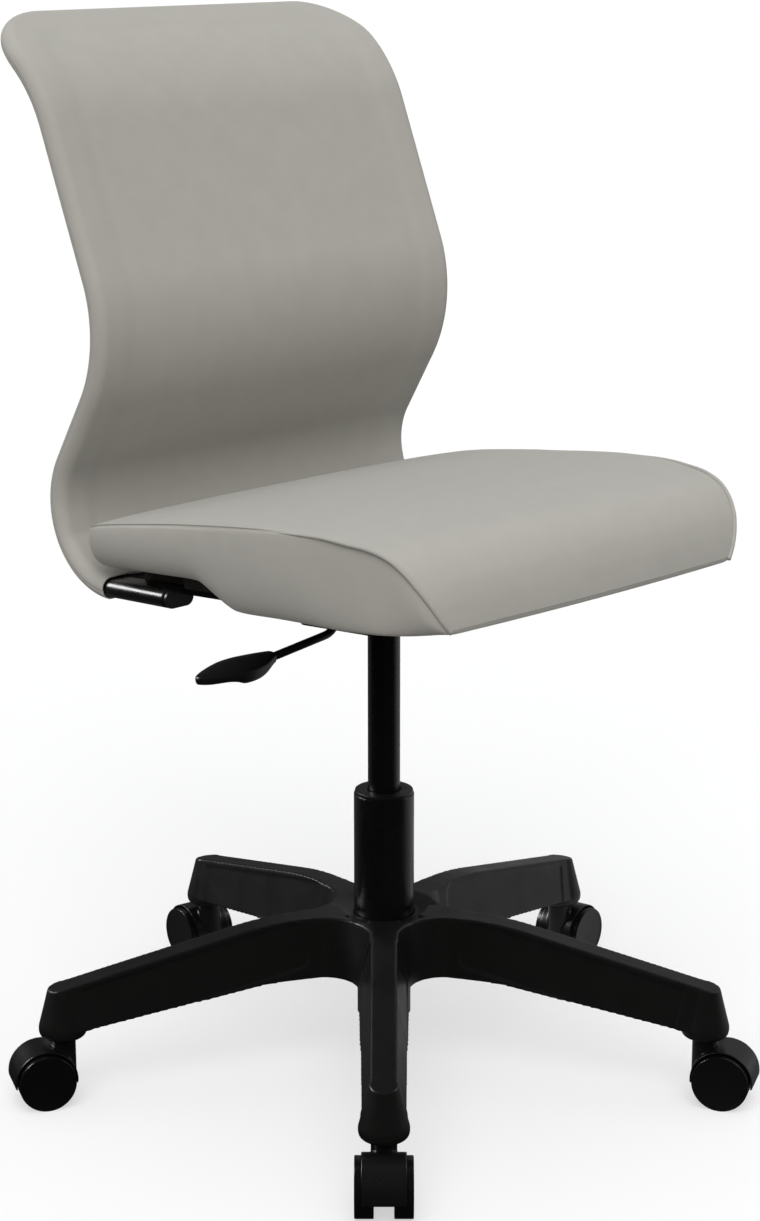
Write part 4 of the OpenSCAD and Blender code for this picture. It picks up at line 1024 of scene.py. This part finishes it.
def make_wheels():
    """Two wheels for each caster."""
    for i, arm in enumerate(ARM_ANGLES):
        axle = turn(arm, "Z") @ shift(STEM_REACH, 0, 0) @ shift(CASTER_TRAIL, 0, WHEEL_R)
        for side, letter in ((1, "a"), (-1, "b")):
            body = f"wheel_{i + 1}{letter}"
            wheel = lathe(f"{body}_tread", WHEEL_SECTION, WHEEL_ROUNDING, steps=4)
            wheel.data.transform(axle @ turn(-90 * side, "X"))
            finish_piece(wheel, "wheel", body, f"caster_{i + 1}_wheel_{letter}")


def paddle_ring(x, w, top, edge, low):
    """Section across the paddle: domed top, sides that lean in, slightly sagging underside."""
    round_r = min(PADDLE_ROUND, w * 0.4, (edge - low) * 0.3)
    dome = []
    for t in (j / 12 * 2 - 1 for j in range(13)):
        share = math.sqrt(max(0.0, 1 - t * t) * 0.9 + 0.1)
        dome.append((w * PADDLE_TOP * t, edge + (top - edge) * share))
    fall = low + round_r - edge + PADDLE_STEP
    side = [(w - PADDLE_LEAN * w * t, edge - PADDLE_STEP + fall * t)
            for t in (j / 4 for j in range(5))]
    under = [((w - round_r * 1.2) * t, low - PADDLE_SAG * (1 - t * t))
             for t in (1 - j / 8 * 2 for j in range(9))]
    section = dome + side + under + [(-y, z) for y, z in reversed(side)]
    return [(x, y, z) for y, z in section]


def make_paddle():
    """The lever's paddle, with rounded ends."""
    rings = [paddle_ring(*along_profile(PADDLE_STATIONS, k, PADDLE_ROWS))
             for k in range(PADDLE_ROWS + 1)]
    paddle = skin("lever_grip", rings, ends=((1.2, 0, 0), (-1.2, 0, 0)))
    finish_piece(paddle, "nylon", "lever", "lever_paddle")


def make_rod():
    """The lever's rod, with smooth bends."""
    line = fillet(ROD_CORNERS, ROD_BEND, steps=14, closed=False)
    path = [Vector((x, 0, z)) for x, z in line]
    rod = sweep("lever_bar", path, [ROD_R] * len(path), sides=24)
    finish_piece(rod, "paint", "lever", "lever_rod")


def make_hub():
    """The mechanism's hub around the cylinder."""
    hub = lathe("mechanism_hub", HUB_SECTION, HUB_ROUNDING)
    finish_piece(hub, "paint", "seat", "plate_hub")


# Carried-over CAD nodes


def dress(names, material):
    """Gives CAD nodes their material, and returns them."""
    nodes = [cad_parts[name] for name in names]
    for obj in nodes:
        obj.data.materials.clear()
        obj.data.materials.append(materials[material])
    return nodes


def dress_bevelled(names, material, width):
    """CAD nodes with a fine bevel, in millimetres, on their sharp edges."""
    for obj in dress(names, material):
        edges = obj.modifiers.new("edges", "BEVEL")
        edges.width = width * MM
        edges.segments = 2
        edges.limit_method = "ANGLE"
        edges.angle_limit = math.radians(35)
        edges.harden_normals = True


def dress_moulded(names, material, voxel, rounds):
    """CAD nodes with soft moulded edges: remeshed in voxels, in millimetres, then smoothed."""
    for obj in dress(names, material):
        remesh = obj.modifiers.new("soften", "REMESH")
        remesh.mode = "VOXEL"
        remesh.voxel_size = voxel * MM
        remesh.use_smooth_shade = True
        smooth = obj.modifiers.new("round", "SMOOTH")
        smooth.factor = 0.5
        smooth.iterations = rounds


def dress_all():
    """Materials and softened edges of the nodes that keep their CAD mesh."""
    casters = range(1, 6)
    fasteners = ["seat_bolts", "frame_bolts", "lever_pin", "caster_stems"]
    lift = ["piston_rod", "piston", "thrust_washer", "rod_clip", "rod_guide", "release_pin"]
    dress_moulded(["star_base"], "nylon", voxel=1.1, rounds=6)
    dress_moulded([f"caster_{i}_hood" for i in casters], "hood", voxel=0.8, rounds=3)
    dress_bevelled([f"caster_{i}_axle" for i in casters], "steel", width=0.3)
    dress_bevelled(fasteners + lift, "steel", width=0.3)
    dress_bevelled(["column_foot", "gas_cylinder"], "tube", width=0.3)
    dress_bevelled(["lever_bush", "tube_caps"], "nylon", width=0.5)
    dress_bevelled(["seat_plate", "frame_plate"], "paint", width=0.4)
    dress_bevelled(["seat_board"], "ply", width=0.4)


make_camera()
make_stage()
make_sleeve()
make_pad()
make_cushion()
make_piping()
make_lining()
make_tube()
make_column()
make_wheels()
make_paddle()
make_rod()
make_hub()
dress_all()
